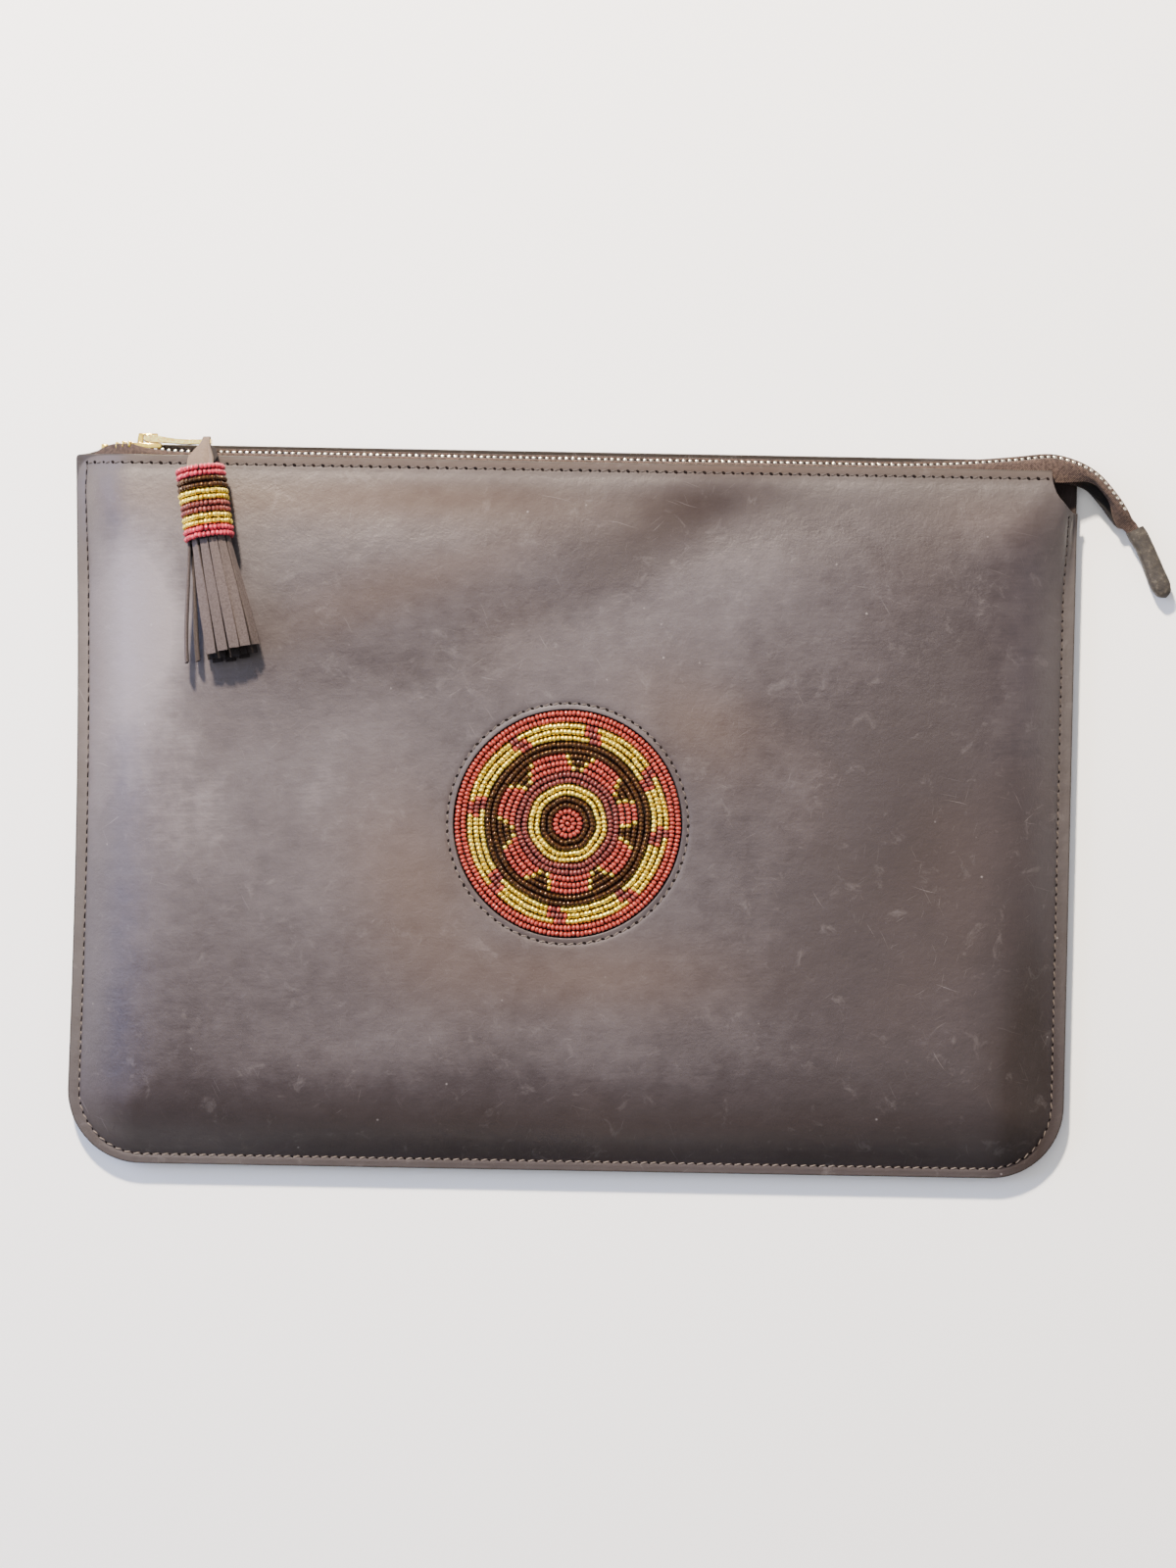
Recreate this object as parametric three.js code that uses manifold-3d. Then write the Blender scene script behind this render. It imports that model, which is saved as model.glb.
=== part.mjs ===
// Beaded leather laptop sleeve with a brass zip and a tassel pull, lying on its back.
// Millimetres, +Z up: the front panel faces up, the zip runs along +Y and its tail leaves at +X.
// The origin is the middle of the flat underside of the back panel.
import * as THREE from "three";
import { mergeVertices } from "three/addons/utils/BufferGeometryUtils.js";
import Module from "manifold-3d";

const wasm = await Module();
wasm.setup();

// Driving dimensions
const fitGap = 0.3;
const panel = {
  width: 340,
  height: 241,
  leather: 1.8,
  cornerRadius: 25,
  innerRadius: 4,
  edgeLift: 2.6,
  hollow: 19,
  leftBow: 1.6,
  backReach: 3,
  scoopWide: 10,
  scoopDeep: 14,
};
const bead = { diameter: 2.05, rings: 18, valley: 0.7, collarRows: 12 };
const medallion = { x: -1, y: -1.3, windowMargin: 0.7, backingRadius: 44, backing: 1.2, sides: 32 };
const tape = { width: 8.5, thickness: 1, sewnGap: 0.5, edgeDrop: 0.2 };
// Across a tape from its toothed edge: the way in where it lies flat and where it bends to the teeth,
// and how far below its run the bend goes (null is at the teeth)
const tapeBend = [
  { flat: -0.6, bent: 0, down: null },
  { flat: -0.1, bent: 0, down: 0.55 },
  { flat: 0.5, bent: 0.4, down: 0.12 },
  { flat: 1.6, bent: 1.6, down: 0 },
];
const chain = { halfWidth: 2.2, halfDepth: 1.4, chamfer: 0.5 };
const openRun = { x: -158.2, pitch: 2.2, count: 4, tooth: 1, half: 0.85, depth: 1.2, out: 2.5, sunk: 0.3 };
const stop = { x: -161.3, length: 2.4, half: 0.9, apart: 1.1 };
const ridgeOut = 0.8; // the teeth stand this far past the front panel's top edge
// Toward the right the zip rises out of the mouth on its way to the tail
const ridgeRows = [
  { x: 110, out: 0 },
  { x: 130, out: 0.9 },
  { x: 148, out: 2.5 },
  { x: 157, out: 3.6 },
];
const slider = {
  x: -145.2,
  length: 9.5,
  halfWidth: 3.3,
  plate: 1,
  lip: 0.6,
  lipGap: 0.8,
  lift: 0.5,
  wedgeHalf: 0.6,
  foldBefore: 2.5,
  foldAfter: 3,
};
const bridge = { halfLength: 3.2, leg: 1, halfWidth: 0.9, bar: 0.8, barHeight: 1.5, tabClear: 0.9 };
const tab = {
  length: 21.5,
  thickness: 1.6,
  armInner: 1.3,
  pivotHalf: 2.6,
  endHalf: 3,
  barRadius: 0.8,
  round: 1.2,
};
const eye = { x: 18.3, length: 5, halfWidth: 1.5 };
const strap = { thickness: 1.1, narrow: 4, wide: 8.4 };
const tassel = { lean: 9.3, tilt: 7, headRadius: 6.2, headLength: 25, strips: 11, coreStrips: 5 };
// The slot in the head that the strap's ends go into
const headMouth = { halfWidth: 4.8, depth: 5, below: 3.6, above: 3.2 };
const strip = { width: 4, thickness: 1.2, root: 20, length: 44 };
const outerSpread = { inset: 1, wide: 10.5, high: 4.8, droop: 6.2, shorter: 0 };
const coreSpread = { inset: 3, wide: 5.2, high: 1.8, droop: 6, shorter: 3 };
const tailTab = { length: 25, width: 5.8, leather: 1.4, tipRadius: 2.7, fold: 2.6 };

// Rows from the edge of a panel inwards: how far the front has risen and the back still lifts
const profileRows = [
  { inset: 0, rise: 0, lift: 1 },
  { inset: 4, rise: 0.02, lift: 0.97 },
  { inset: 8, rise: 0.2, lift: 0.72 },
  { inset: 13, rise: 0.48, lift: 0.38 },
  { inset: 20, rise: 0.77, lift: 0.1 },
  { inset: 29, rise: 0.94, lift: 0 },
  { inset: 40, rise: 1, lift: 0 },
];

// The mouth: how far the front stands off the back, along the top edge and down the open right corner
const mouthRows = [
  { x: -170, gap: 0 },
  { x: -166, gap: 1.5 },
  { x: -161, gap: 5.5 },
  { x: -154, gap: 9.4 },
  { x: -148, gap: 10.2 },
  { x: -110, gap: 10.2 },
  { x: -50, gap: 10.2 },
  { x: 10, gap: 10.2 },
  { x: 70, gap: 10.2 },
  { x: 120, gap: 10.2 },
  { x: 158, gap: 10.2 },
];
const cornerRows = [
  { depth: 0, open: 0.93 },
  { depth: 5, open: 0.68 },
  { depth: 11, open: 0.3 },
  { depth: 17, open: 0.06 },
  { depth: 24, open: 0 },
];
const mouthFade = { from: 6, to: 45 }; // the mouth's fullness dies away over this depth
const cornerFrom = 162; // right of this the open corner takes over
const plainSides = [
  { side: "right", from: 0.2, steps: 5 },
  { side: "cornerRight", from: 0, steps: 6 },
  { side: "bottom", from: 0, steps: 9 },
  { side: "cornerLeft", from: 0, steps: 6 },
  { side: "left", from: 0, steps: 7 },
];

// The zip's tail past the panels: the middle of the fold, then each tape's stand-off and width
const tailRows = [
  { x: 161.7, y: 124.9, z: 9.5, fold: 1, run: 4.2, edge: 3.9, width: 8.5 },
  { x: 166.3, y: 123.9, z: 9.2, fold: 1, run: 4.1, edge: 3.3, width: 8.3 },
  { x: 170.5, y: 122.4, z: 8.8, fold: 1, run: 3.9, edge: 2.6, width: 8 },
  { x: 174.5, y: 120.3, z: 8.2, fold: 1, run: 3.8, edge: 2.1, width: 7.6 },
  { x: 178, y: 117.5, z: 7.5, fold: 1, run: 3.8, edge: 1.7, width: 7.2 },
  { x: 182.6, y: 112.4, z: 6.3, fold: 1, run: 3.6, edge: 1.2, width: 6.8 },
  { x: 185.4, y: 108.5, z: 5.4, fold: 1, run: 3.5, edge: 1, width: 6.4 },
  { x: 187.4, y: 105.2, z: 4.4, fold: 0.4, run: 1.6, edge: 0.9, width: 5.6 },
  { x: 188.9, y: 102.4, z: 3.6, fold: 0, run: 0.85, edge: 0.85, width: 4.6 },
  { x: 198.2, y: 84.1, z: 3.6, fold: 0, run: 0.85, edge: 0.85, width: 4.6 },
];
const teethEndRow = 6; // the last tail row that still has teeth
const tabStartRow = 8;

// The strap from the tassel's head round the front rail of the eye and back, seen from the hinge
const strapRows = [
  { y: -12, z: 15, width: 8.4 },
  { y: -8.9, z: 13.7, width: 8.4 },
  { y: -5.7, z: 10, width: 7.4 },
  { y: -3.8, z: 6.9, width: 6 },
  { y: -2.2, z: 3.95, width: 4.6 },
  { y: -1.75, z: 2.25, width: 4 },
  { y: -1.24, z: 1.01, width: 4 },
  { y: 0, z: 0.5, width: 4 },
  { y: 1.24, z: 1.01, width: 4 },
  { y: 1.75, z: 2.25, width: 4 },
  { y: 1, z: 4.55, width: 4.6 },
  { y: -1.4, z: 8.15, width: 6 },
  { y: -4.1, z: 11.75, width: 7.4 },
  { y: -7.4, z: 15.3, width: 8.4 },
  { y: -11.4, z: 17.1, width: 8.4 },
];
const headPlace = { x: 19.2, y: -10, z: 16.4 }; // middle of the head's top, seen from the hinge

// Values worked out from those
const halfHeight = panel.height / 2;
const seamHeight = panel.edgeLift + panel.leather + fitGap;
const ridgeY = halfHeight + ridgeOut;
const ringPitch = bead.diameter;
const beadRadius = (bead.rings + 0.5) * ringPitch;
const hinge = { y: ridgeY + slider.lift + chain.halfDepth + fitGap + slider.plate + bridge.barHeight };

// Solids: closed geometry in and out of boolean cuts
function toSolid(geometry) {
  const bare = geometry.clone();
  bare.deleteAttribute("normal");
  bare.deleteAttribute("uv");
  const merged = mergeVertices(bare);
  const vertProperties = new Float32Array(merged.attributes.position.array);
  const triVerts = new Uint32Array(merged.index.array);
  return new wasm.Manifold(new wasm.Mesh({ numProp: 3, vertProperties, triVerts }));
}

function toGeometry(solid) {
  const mesh = solid.getMesh();
  const geometry = new THREE.BufferGeometry();
  geometry.setAttribute("position", new THREE.BufferAttribute(mesh.vertProperties, 3));
  geometry.setIndex(new THREE.BufferAttribute(mesh.triVerts, 1));
  geometry.computeVertexNormals();
  return geometry;
}

function cut(geometry, ...tools) {
  const solid = tools.reduce((rest, tool) => rest.subtract(toSolid(tool)), toSolid(geometry));
  return toGeometry(solid);
}

function join(...geometries) {
  const solids = geometries.map(toSolid);
  return toGeometry(solids.reduce((whole, part) => whole.add(part)));
}

function indexed(points, triangles) {
  const geometry = new THREE.BufferGeometry().setFromPoints(points);
  geometry.setIndex(triangles);
  geometry.computeVertexNormals();
  return geometry;
}

function box(x0, x1, y0, y1, z0, z1) {
  const geometry = new THREE.BoxGeometry(x1 - x0, y1 - y0, z1 - z0);
  return geometry.translate((x0 + x1) / 2, (y0 + y1) / 2, (z0 + z1) / 2);
}

const mix = THREE.MathUtils.lerp;

function lookUp(rows, key, value, at) {
  const next = rows.findIndex((row) => row[key] >= at);
  if (next === 0) return rows[0][value];
  if (next < 0) return rows[rows.length - 1][value];
  const before = rows[next - 1];
  const after = rows[next];
  return mix(before[value], after[value], (at - before[key]) / (after[key] - before[key]));
}

// Panels: stations round the edge, each with its side and the share of the way along it
const stations = [];
for (const row of mouthRows) {
  stations.push({ side: "top", share: row.x / panel.width + 0.5 });
}
for (const row of cornerRows) {
  stations.push({ side: "right", share: row.depth / panel.height });
}
for (const { side, from, steps } of plainSides) {
  for (let step = 0; step < steps; step++) {
    stations.push({ side, share: mix(from, 1, step / steps) });
  }
}

function mouthGap(x, depth) {
  const along = lookUp(mouthRows, "x", "gap", x);
  const fade = 1 - THREE.MathUtils.smoothstep(depth, mouthFade.from, mouthFade.to);
  const atCorner = THREE.MathUtils.smoothstep(x, cornerFrom, panel.width / 2);
  return along * mix(fade, lookUp(cornerRows, "depth", "open", depth), atCorner);
}

function outlinePoint({ side, share }, inset, reach) {
  const halfWidth = panel.width / 2 - inset;
  const across = mix(-halfWidth, halfWidth, share);
  const fullGap = mouthRows[mouthRows.length - 1].gap;
  const openness = side === "top" ? lookUp(mouthRows, "x", "gap", across) / fullGap : 1;
  const top = halfHeight - inset + reach * openness;
  const bottom = inset - halfHeight;
  const radius = Math.max(panel.cornerRadius - inset, panel.innerRadius);
  const angle = (share * Math.PI) / 2;
  const bow = panel.leftBow * Math.sin(Math.PI * share);
  const places = {
    top: [across, top],
    right: [halfWidth, mix(top, bottom + radius, share)],
    cornerRight: [
      halfWidth - radius + radius * Math.cos(angle),
      bottom + radius - radius * Math.sin(angle),
    ],
    bottom: [mix(halfWidth - radius, radius - halfWidth, share), bottom],
    cornerLeft: [
      radius - halfWidth - radius * Math.sin(angle),
      bottom + radius - radius * Math.cos(angle),
    ],
    left: [bow - halfWidth, mix(bottom + radius, halfHeight - inset, share)],
  };
  return places[side];
}

// A wall of even thickness on rings of points: the rings run inwards and the last one is filled
function shell(rings, thickness) {
  const count = rings[0].length;
  const points = rings.flat();
  const face = [];
  for (let ring = 0; ring < rings.length - 1; ring++) {
    for (let spoke = 0; spoke < count; spoke++) {
      const next = (spoke + 1) % count;
      const a = ring * count + spoke;
      const b = ring * count + next;
      face.push(a, a + count, b + count, a, b + count, b);
    }
  }
  const last = points.length - count;
  const rim = rings[rings.length - 1].map((point) => new THREE.Vector2(point.x, point.y)).reverse();
  for (const [a, b, c] of THREE.ShapeUtils.triangulateShape(rim, [])) {
    face.push(last + count - 1 - a, last + count - 1 - b, last + count - 1 - c);
  }
  const normals = indexed(points, face).attributes.normal;
  const raised = points.map((point, index) => {
    const normal = new THREE.Vector3().fromBufferAttribute(normals, index);
    return point.clone().addScaledVector(normal, thickness);
  });
  const size = points.length;
  const triangles = face.map((index) => index + size);
  for (let index = 0; index < face.length; index += 3) {
    triangles.push(face[index], face[index + 2], face[index + 1]);
  }
  for (let spoke = 0; spoke < count; spoke++) {
    const next = (spoke + 1) % count;
    triangles.push(next, spoke, size + spoke, next, size + spoke, size + next);
  }
  return indexed([...points, ...raised], triangles);
}

function frontPanel() {
  const rings = profileRows.map(({ inset, rise }) =>
    stations.map((station) => {
      const [x, y] = outlinePoint(station, inset, 0);
      const edge = seamHeight + mouthGap(x, halfHeight - y);
      return new THREE.Vector3(x, y, mix(edge, panel.hollow, rise));
    })
  );
  const window = new THREE.CylinderGeometry(1, 1, panel.hollow, 48);
  const windowRadius = beadRadius + medallion.windowMargin;
  window.rotateX(Math.PI / 2).scale(windowRadius, windowRadius, 1);
  window.translate(medallion.x, medallion.y, panel.hollow);
  const scoop = new THREE.CylinderGeometry(1, 1, 60, 32);
  scoop.rotateX(Math.PI / 2).scale(panel.scoopWide, panel.scoopDeep, 1);
  scoop.translate(panel.width / 2, halfHeight, 0);
  return cut(shell(rings, panel.leather), window, scoop);
}

function backPanel() {
  const rings = profileRows.map(({ inset, lift }) =>
    stations.map((station) => {
      const [x, y] = outlinePoint(station, inset, panel.backReach);
      return new THREE.Vector3(x, y, panel.edgeLift * lift);
    })
  );
  return shell(rings, panel.leather);
}

// Beadwork: a disc and a sleeve with one ridge for each row of beads
function beadMedallion() {
  const profile = [new THREE.Vector2(0, 0), new THREE.Vector2(beadRadius, 0)];
  for (let ring = bead.rings; ring > 0; ring--) {
    profile.push(new THREE.Vector2((ring + 0.5) * ringPitch, bead.diameter * bead.valley));
    profile.push(new THREE.Vector2(ring * ringPitch, bead.diameter));
  }
  profile.push(new THREE.Vector2(0.5 * ringPitch, bead.diameter * bead.valley));
  profile.push(new THREE.Vector2(0, bead.diameter));
  return new THREE.LatheGeometry(profile, medallion.sides).rotateX(Math.PI / 2);
}

function beadBacking() {
  const { backingRadius, backing } = medallion;
  return new THREE.CylinderGeometry(backingRadius, backingRadius, backing, 40).rotateX(Math.PI / 2);
}

function beadCollar() {
  const inner = tassel.headRadius + fitGap;
  const valley = inner + bead.diameter * bead.valley;
  const length = bead.collarRows * ringPitch;
  const profile = [new THREE.Vector2(inner, -length)];
  for (let row = bead.collarRows; row > 0; row--) {
    profile.push(new THREE.Vector2(valley, -row * ringPitch));
    profile.push(new THREE.Vector2(inner + bead.diameter, (0.5 - row) * ringPitch));
  }
  profile.push(new THREE.Vector2(valley, 0));
  profile.push(new THREE.Vector2(inner, 0));
  profile.push(profile[0].clone());
  return new THREE.LatheGeometry(profile, 20);
}

// Zip: sections across the fold, with the teeth at its outer edge and a tape on each side
function mouthSection(x) {
  const half = (fitGap + lookUp(mouthRows, "x", "gap", x)) / 2;
  const run = half - tape.sewnGap - tape.thickness / 2;
  const sliderMouth = slider.x - slider.length / 2;
  const foldStart = sliderMouth - slider.foldBefore;
  const fold = THREE.MathUtils.smoothstep(x, foldStart, sliderMouth + slider.foldAfter);
  const z = panel.edgeLift + panel.leather + half;
  const lift = Math.abs(x - slider.x) < slider.length * 0.6 ? slider.lift : 0;
  const y = ridgeY + lift + lookUp(ridgeRows, "x", "out", x);
  return { x, y, z, fold, run, edge: run - tape.edgeDrop, width: tape.width };
}

const chainStart = -144.5;
const pastSlider = [-140, -133, -60, 40, 110, 130, 148, 157];
const mouthPlaces = [-163.5, -161, -157, -152.5, -150, -147, chainStart, ...pastSlider];
const zipRows = [...mouthPlaces.map(mouthSection), ...tailRows];

function inwardAt(row) {
  const before = zipRows[Math.max(row - 1, 0)];
  const after = zipRows[Math.min(row + 1, zipRows.length - 1)];
  return new THREE.Vector3(after.y - before.y, before.x - after.x, 0).normalize();
}

// A point of the section: how far in from the teeth, and how far up from the middle of the fold
function sectionPoint(row, inward, along, up) {
  const { x, y, z } = zipRows[row];
  return new THREE.Vector3(x, y, z + up).addScaledVector(inward, along);
}

// A band between two lines of points at each section, closed at both ends
function band(sections) {
  const half = sections[0].upper.length;
  const count = half * 2;
  const points = sections.flatMap(({ upper, lower }) => [...upper, ...[...lower].reverse()]);
  const triangles = [];
  const quad = (a, b, c, d) => triangles.push(a, b, c, a, c, d);
  for (let section = 0; section < sections.length - 1; section++) {
    for (let side = 0; side < count; side++) {
      const a = section * count + side;
      const b = section * count + ((side + 1) % count);
      quad(a, b, b + count, a + count);
    }
  }
  const last = points.length - count;
  for (let step = 0; step < half - 1; step++) {
    const across = count - 1 - step;
    quad(step, across, across - 1, step + 1);
    quad(last + step, last + step + 1, last + across - 1, last + across);
  }
  const geometry = indexed(points, triangles);
  if (toSolid(geometry).volume() > 0) return geometry;
  for (let index = 0; index < triangles.length; index += 3) {
    triangles.splice(index, 3, triangles[index], triangles[index + 2], triangles[index + 1]);
  }
  return indexed(points, triangles);
}

function zipTape(side) {
  const sections = zipRows.map(({ fold, run, edge, width }, row) => {
    const atTeeth = chain.halfWidth + fitGap;
    const line = tapeBend.map(({ flat, bent, down }) => {
      const up = down === null ? atTeeth : run - down;
      return new THREE.Vector2(mix(flat, bent, fold), mix(run, up, fold));
    });
    line.push(new THREE.Vector2(width, edge));
    const inward = inwardAt(row);
    const faces = [0.5, -0.5].map((share) =>
      line.map((point, index) => {
        const before = line[Math.max(index - 1, 0)];
        const after = line[Math.min(index + 1, line.length - 1)];
        const across = new THREE.Vector2(before.y - after.y, after.x - before.x).normalize();
        const place = point.clone().addScaledVector(across, share * tape.thickness);
        return sectionPoint(row, inward, place.x, side * place.y);
      })
    );
    return { upper: faces[0], lower: faces[1] };
  });
  return band(sections);
}

// A rail of teeth: a bar with chamfered corners from one section to another
function rail(rows, upRange) {
  const { halfDepth, chamfer } = chain;
  const sections = rows.map((row) => {
    const inward = inwardAt(row);
    const [low, high] = upRange(row);
    const at = (along, up) => sectionPoint(row, inward, along, up);
    return {
      upper: [
        at(-halfDepth, high - chamfer),
        at(chamfer - halfDepth, high),
        at(halfDepth - chamfer, high),
        at(halfDepth, high - chamfer),
      ],
      lower: [
        at(-halfDepth, low + chamfer),
        at(chamfer - halfDepth, low),
        at(halfDepth - chamfer, low),
        at(halfDepth, low + chamfer),
      ],
    };
  });
  return band(sections);
}

function zipChain() {
  const first = mouthPlaces.indexOf(chainStart);
  const last = mouthPlaces.length + teethEndRow;
  const rows = Array.from({ length: last - first + 1 }, (_, step) => first + step);
  return rail(rows, () => [-chain.halfWidth, chain.halfWidth]);
}

// The open teeth between the stop and the slider, on a thin spine at the tape's edge
function openPlace(x, side) {
  const row = mouthSection(x);
  return { y: ridgeY + openRun.out, z: row.z + side * (row.run - openRun.sunk) };
}

function openTeeth(side) {
  const { pitch, count, tooth, half, depth } = openRun;
  const spineHalf = 0.3;
  const pieces = [];
  const sections = [];
  for (let index = 0; index < count; index++) {
    const from = openRun.x + index * pitch;
    const { y, z } = openPlace(from, side);
    pieces.push(box(from, from + tooth, y - depth, y + depth, z - half, z + half));
    const corner = (dy, dz) => new THREE.Vector3(from + tooth / 2, y + dy * spineHalf, z + dz * spineHalf);
    sections.push({
      upper: [corner(-1, 1), corner(1, 1)],
      lower: [corner(-1, -1), corner(1, -1)],
    });
  }
  return join(band(sections), ...pieces);
}

function topStop(side) {
  const { x, length, half, apart } = stop;
  const { y } = openPlace(x, side);
  const z = mouthSection(x).z + side * apart;
  return box(x, x + length, y - openRun.depth, y + openRun.depth, z - half, z + half);
}

// Slider: inner and outer plate held by a wedge, lips that guide the tapes, and the bridge
function sliderBody() {
  const { length, halfWidth, plate, lip, lipGap, wedgeHalf } = slider;
  const half = length / 2;
  const inner = chain.halfDepth + fitGap;
  const outer = inner + plate;
  const pieces = [];
  for (const side of [1, -1]) {
    const [low, high] = side > 0 ? [inner, outer] : [-outer, -inner];
    pieces.push(box(-half, half, low, high, -halfWidth, halfWidth));
    const [lipLow, lipHigh] = side > 0 ? [lipGap, outer] : [-outer, -lipGap];
    pieces.push(box(-half, half, lipLow, lipHigh, halfWidth - lip, halfWidth));
    pieces.push(box(-half, half, lipLow, lipHigh, -halfWidth, lip - halfWidth));
  }
  pieces.push(box(1 - half, -plate / 2, -outer, outer, -wedgeHalf, wedgeHalf));
  const barTop = hinge.y - ridgeY - slider.lift + tab.barRadius + fitGap;
  const { halfLength, leg, halfWidth: thin, bar } = bridge;
  pieces.push(box(-halfLength, leg - halfLength, inner, barTop + bar, -thin, thin));
  pieces.push(box(halfLength - leg, halfLength, inner, barTop + bar, -thin, thin));
  pieces.push(box(-halfLength, halfLength, barTop, barTop + bar, -thin, thin));
  return join(...pieces);
}

// Pull tab: a fork whose bar lies under the bridge, and a plate with an eye, drawn from above the zip
function pullTab() {
  const { length, thickness, armInner, pivotHalf, endHalf, barRadius, round } = tab;
  const forkEnd = bridge.halfLength + bridge.tabClear;
  const outline = new THREE.Shape();
  outline.moveTo(0, armInner);
  outline.lineTo(forkEnd, armInner);
  outline.lineTo(forkEnd, -armInner);
  outline.lineTo(0, -armInner);
  outline.lineTo(0, -pivotHalf);
  outline.lineTo(length - round, -endHalf);
  outline.quadraticCurveTo(length, -endHalf, length, round - endHalf);
  outline.lineTo(length, endHalf - round);
  outline.quadraticCurveTo(length, endHalf, length - round, endHalf);
  outline.lineTo(0, pivotHalf);
  outline.closePath();
  const hole = new THREE.Path();
  hole.moveTo(eye.x - eye.length / 2, -eye.halfWidth);
  hole.lineTo(eye.x - eye.length / 2, eye.halfWidth);
  hole.lineTo(eye.x + eye.length / 2, eye.halfWidth);
  hole.lineTo(eye.x + eye.length / 2, -eye.halfWidth);
  hole.closePath();
  outline.holes.push(hole);
  const settings = { depth: thickness, bevelEnabled: false, curveSegments: 4 };
  const plate = new THREE.ExtrudeGeometry(outline, settings);
  plate.translate(0, 0, -thickness / 2).rotateX(Math.PI / 2);
  const bar = new THREE.CylinderGeometry(barRadius, barRadius, pivotHalf * 2, 12);
  return join(plate, bar.rotateX(Math.PI / 2));
}

// Tassel: the strap through the eye, the rolled head and its skirt of cut strips
function tasselStrap() {
  const line = strapRows.map(({ y, z }) => new THREE.Vector2(y, z));
  const sections = strapRows.map(({ width }, index) => {
    const before = line[Math.max(index - 1, 0)];
    const after = line[Math.min(index + 1, line.length - 1)];
    const across = new THREE.Vector2(before.y - after.y, after.x - before.x).normalize();
    const x = mix(eye.x, headPlace.x, (width - strap.narrow) / (strap.wide - strap.narrow));
    const faces = [0.5, -0.5].map((share) => {
      const place = line[index].clone().addScaledVector(across, share * strap.thickness);
      return [-width / 2, width / 2].map((offset) => new THREE.Vector3(x + offset, place.x, place.y));
    });
    return { upper: faces[0], lower: faces[1] };
  });
  return band(sections);
}

function skirtStrip(angle, spread, longer) {
  const rootRadius = tassel.headRadius - spread.inset;
  const length = strip.length - spread.shorter + longer;
  const radial = new THREE.Vector3(Math.sin(angle), 0, Math.cos(angle));
  const sideways = new THREE.Vector3(Math.cos(angle), 0, -Math.sin(angle));
  const sections = [0, 0.15, 0.4, 0.7, 1].map((share) => {
    const ease = THREE.MathUtils.smoothstep(share, 0.1, 1);
    const middle = new THREE.Vector3(
      radial.x * mix(rootRadius, spread.wide, ease),
      -strip.root - share * length,
      radial.z * mix(rootRadius, spread.high, ease) - spread.droop * share * share
    );
    const corner = (across, out) =>
      middle.clone()
        .addScaledVector(sideways, (across * strip.width) / 2)
        .addScaledVector(radial, (out * strip.thickness) / 2);
    return { upper: [corner(-1, 1), corner(1, 1)], lower: [corner(-1, -1), corner(1, -1)] };
  });
  return band(sections);
}

function tasselSkirt() {
  const { headRadius, headLength, strips, coreStrips } = tassel;
  const head = new THREE.CylinderGeometry(headRadius, headRadius, headLength, 20);
  head.translate(0, -headLength / 2, 0);
  const { halfWidth, depth, below, above } = headMouth;
  const mouth = box(-halfWidth, halfWidth, -depth, 1, -below, above);
  const pieces = [cut(head, mouth)];
  for (let index = 0; index < strips; index++) {
    const angle = (2 * Math.PI * (index + 0.5)) / strips;
    pieces.push(skirtStrip(angle, outerSpread, 1.5 * Math.cos(3 * index)));
  }
  for (let index = 0; index < coreStrips; index++) {
    const angle = (2 * Math.PI * index) / coreStrips;
    pieces.push(skirtStrip(angle, coreSpread, Math.sin(2 * index)));
  }
  return join(...pieces);
}

// Tail tab: a leather strip folded over the end of the tapes, open along both sides
function tailEnd() {
  const { length, width, leather, tipRadius, fold } = tailTab;
  const outline = new THREE.Shape();
  outline.moveTo(0, 0);
  outline.lineTo(length - tipRadius, 0);
  outline.quadraticCurveTo(length, 0, length, tipRadius);
  outline.lineTo(length, width - tipRadius);
  outline.quadraticCurveTo(length, width, length - tipRadius, width);
  outline.lineTo(0, width);
  outline.closePath();
  const inside = tailRows[tabStartRow].run + tape.thickness / 2 + fitGap;
  const depth = 2 * (inside + leather);
  const blank = new THREE.ExtrudeGeometry(outline, { depth, bevelEnabled: false, curveSegments: 6 });
  blank.translate(0, 0, -depth / 2);
  return cut(blank, box(-1, length - fold, -1, width + 1, -inside, inside));
}

// Materials
const waxedLeather = { color: "#776862", roughness: 0.55, metalness: 0 };
const suedeLeather = { color: "#8d7f78", roughness: 0.8, metalness: 0 };
const wovenTape = { color: "#4b3a33", roughness: 0.9, metalness: 0 };
const brass = { color: "#d8c48a", roughness: 0.3, metalness: 1 };
const redBeads = { color: "#a8433a", roughness: 0.2, metalness: 0 };

function piece(name, geometry, finish) {
  const mesh = new THREE.Mesh(geometry, new THREE.MeshStandardMaterial(finish));
  mesh.name = name;
  return mesh;
}

const sleeve = new THREE.Group();
sleeve.add(piece("front_panel", frontPanel(), waxedLeather));
sleeve.add(piece("back_panel", backPanel(), waxedLeather));

const backing = piece("bead_backing", beadBacking(), suedeLeather);
backing.position.set(medallion.x, medallion.y, panel.hollow - fitGap - medallion.backing / 2);
const disc = piece("bead_medallion", beadMedallion(), redBeads);
disc.position.set(medallion.x, medallion.y, panel.hollow);
sleeve.add(backing, disc);

sleeve.add(piece("zip_tape_front", zipTape(1), wovenTape));
sleeve.add(piece("zip_tape_back", zipTape(-1), wovenTape));
sleeve.add(piece("zip_chain", zipChain(), brass));
sleeve.add(piece("open_teeth_front", openTeeth(1), brass));
sleeve.add(piece("open_teeth_back", openTeeth(-1), brass));
sleeve.add(piece("top_stop_front", topStop(1), brass));
sleeve.add(piece("top_stop_back", topStop(-1), brass));

const sliderZ = mouthSection(slider.x).z;
const sliderPiece = piece("slider_body", sliderBody(), brass);
sliderPiece.position.set(slider.x, ridgeY + slider.lift, sliderZ);
sleeve.add(sliderPiece);

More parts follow.
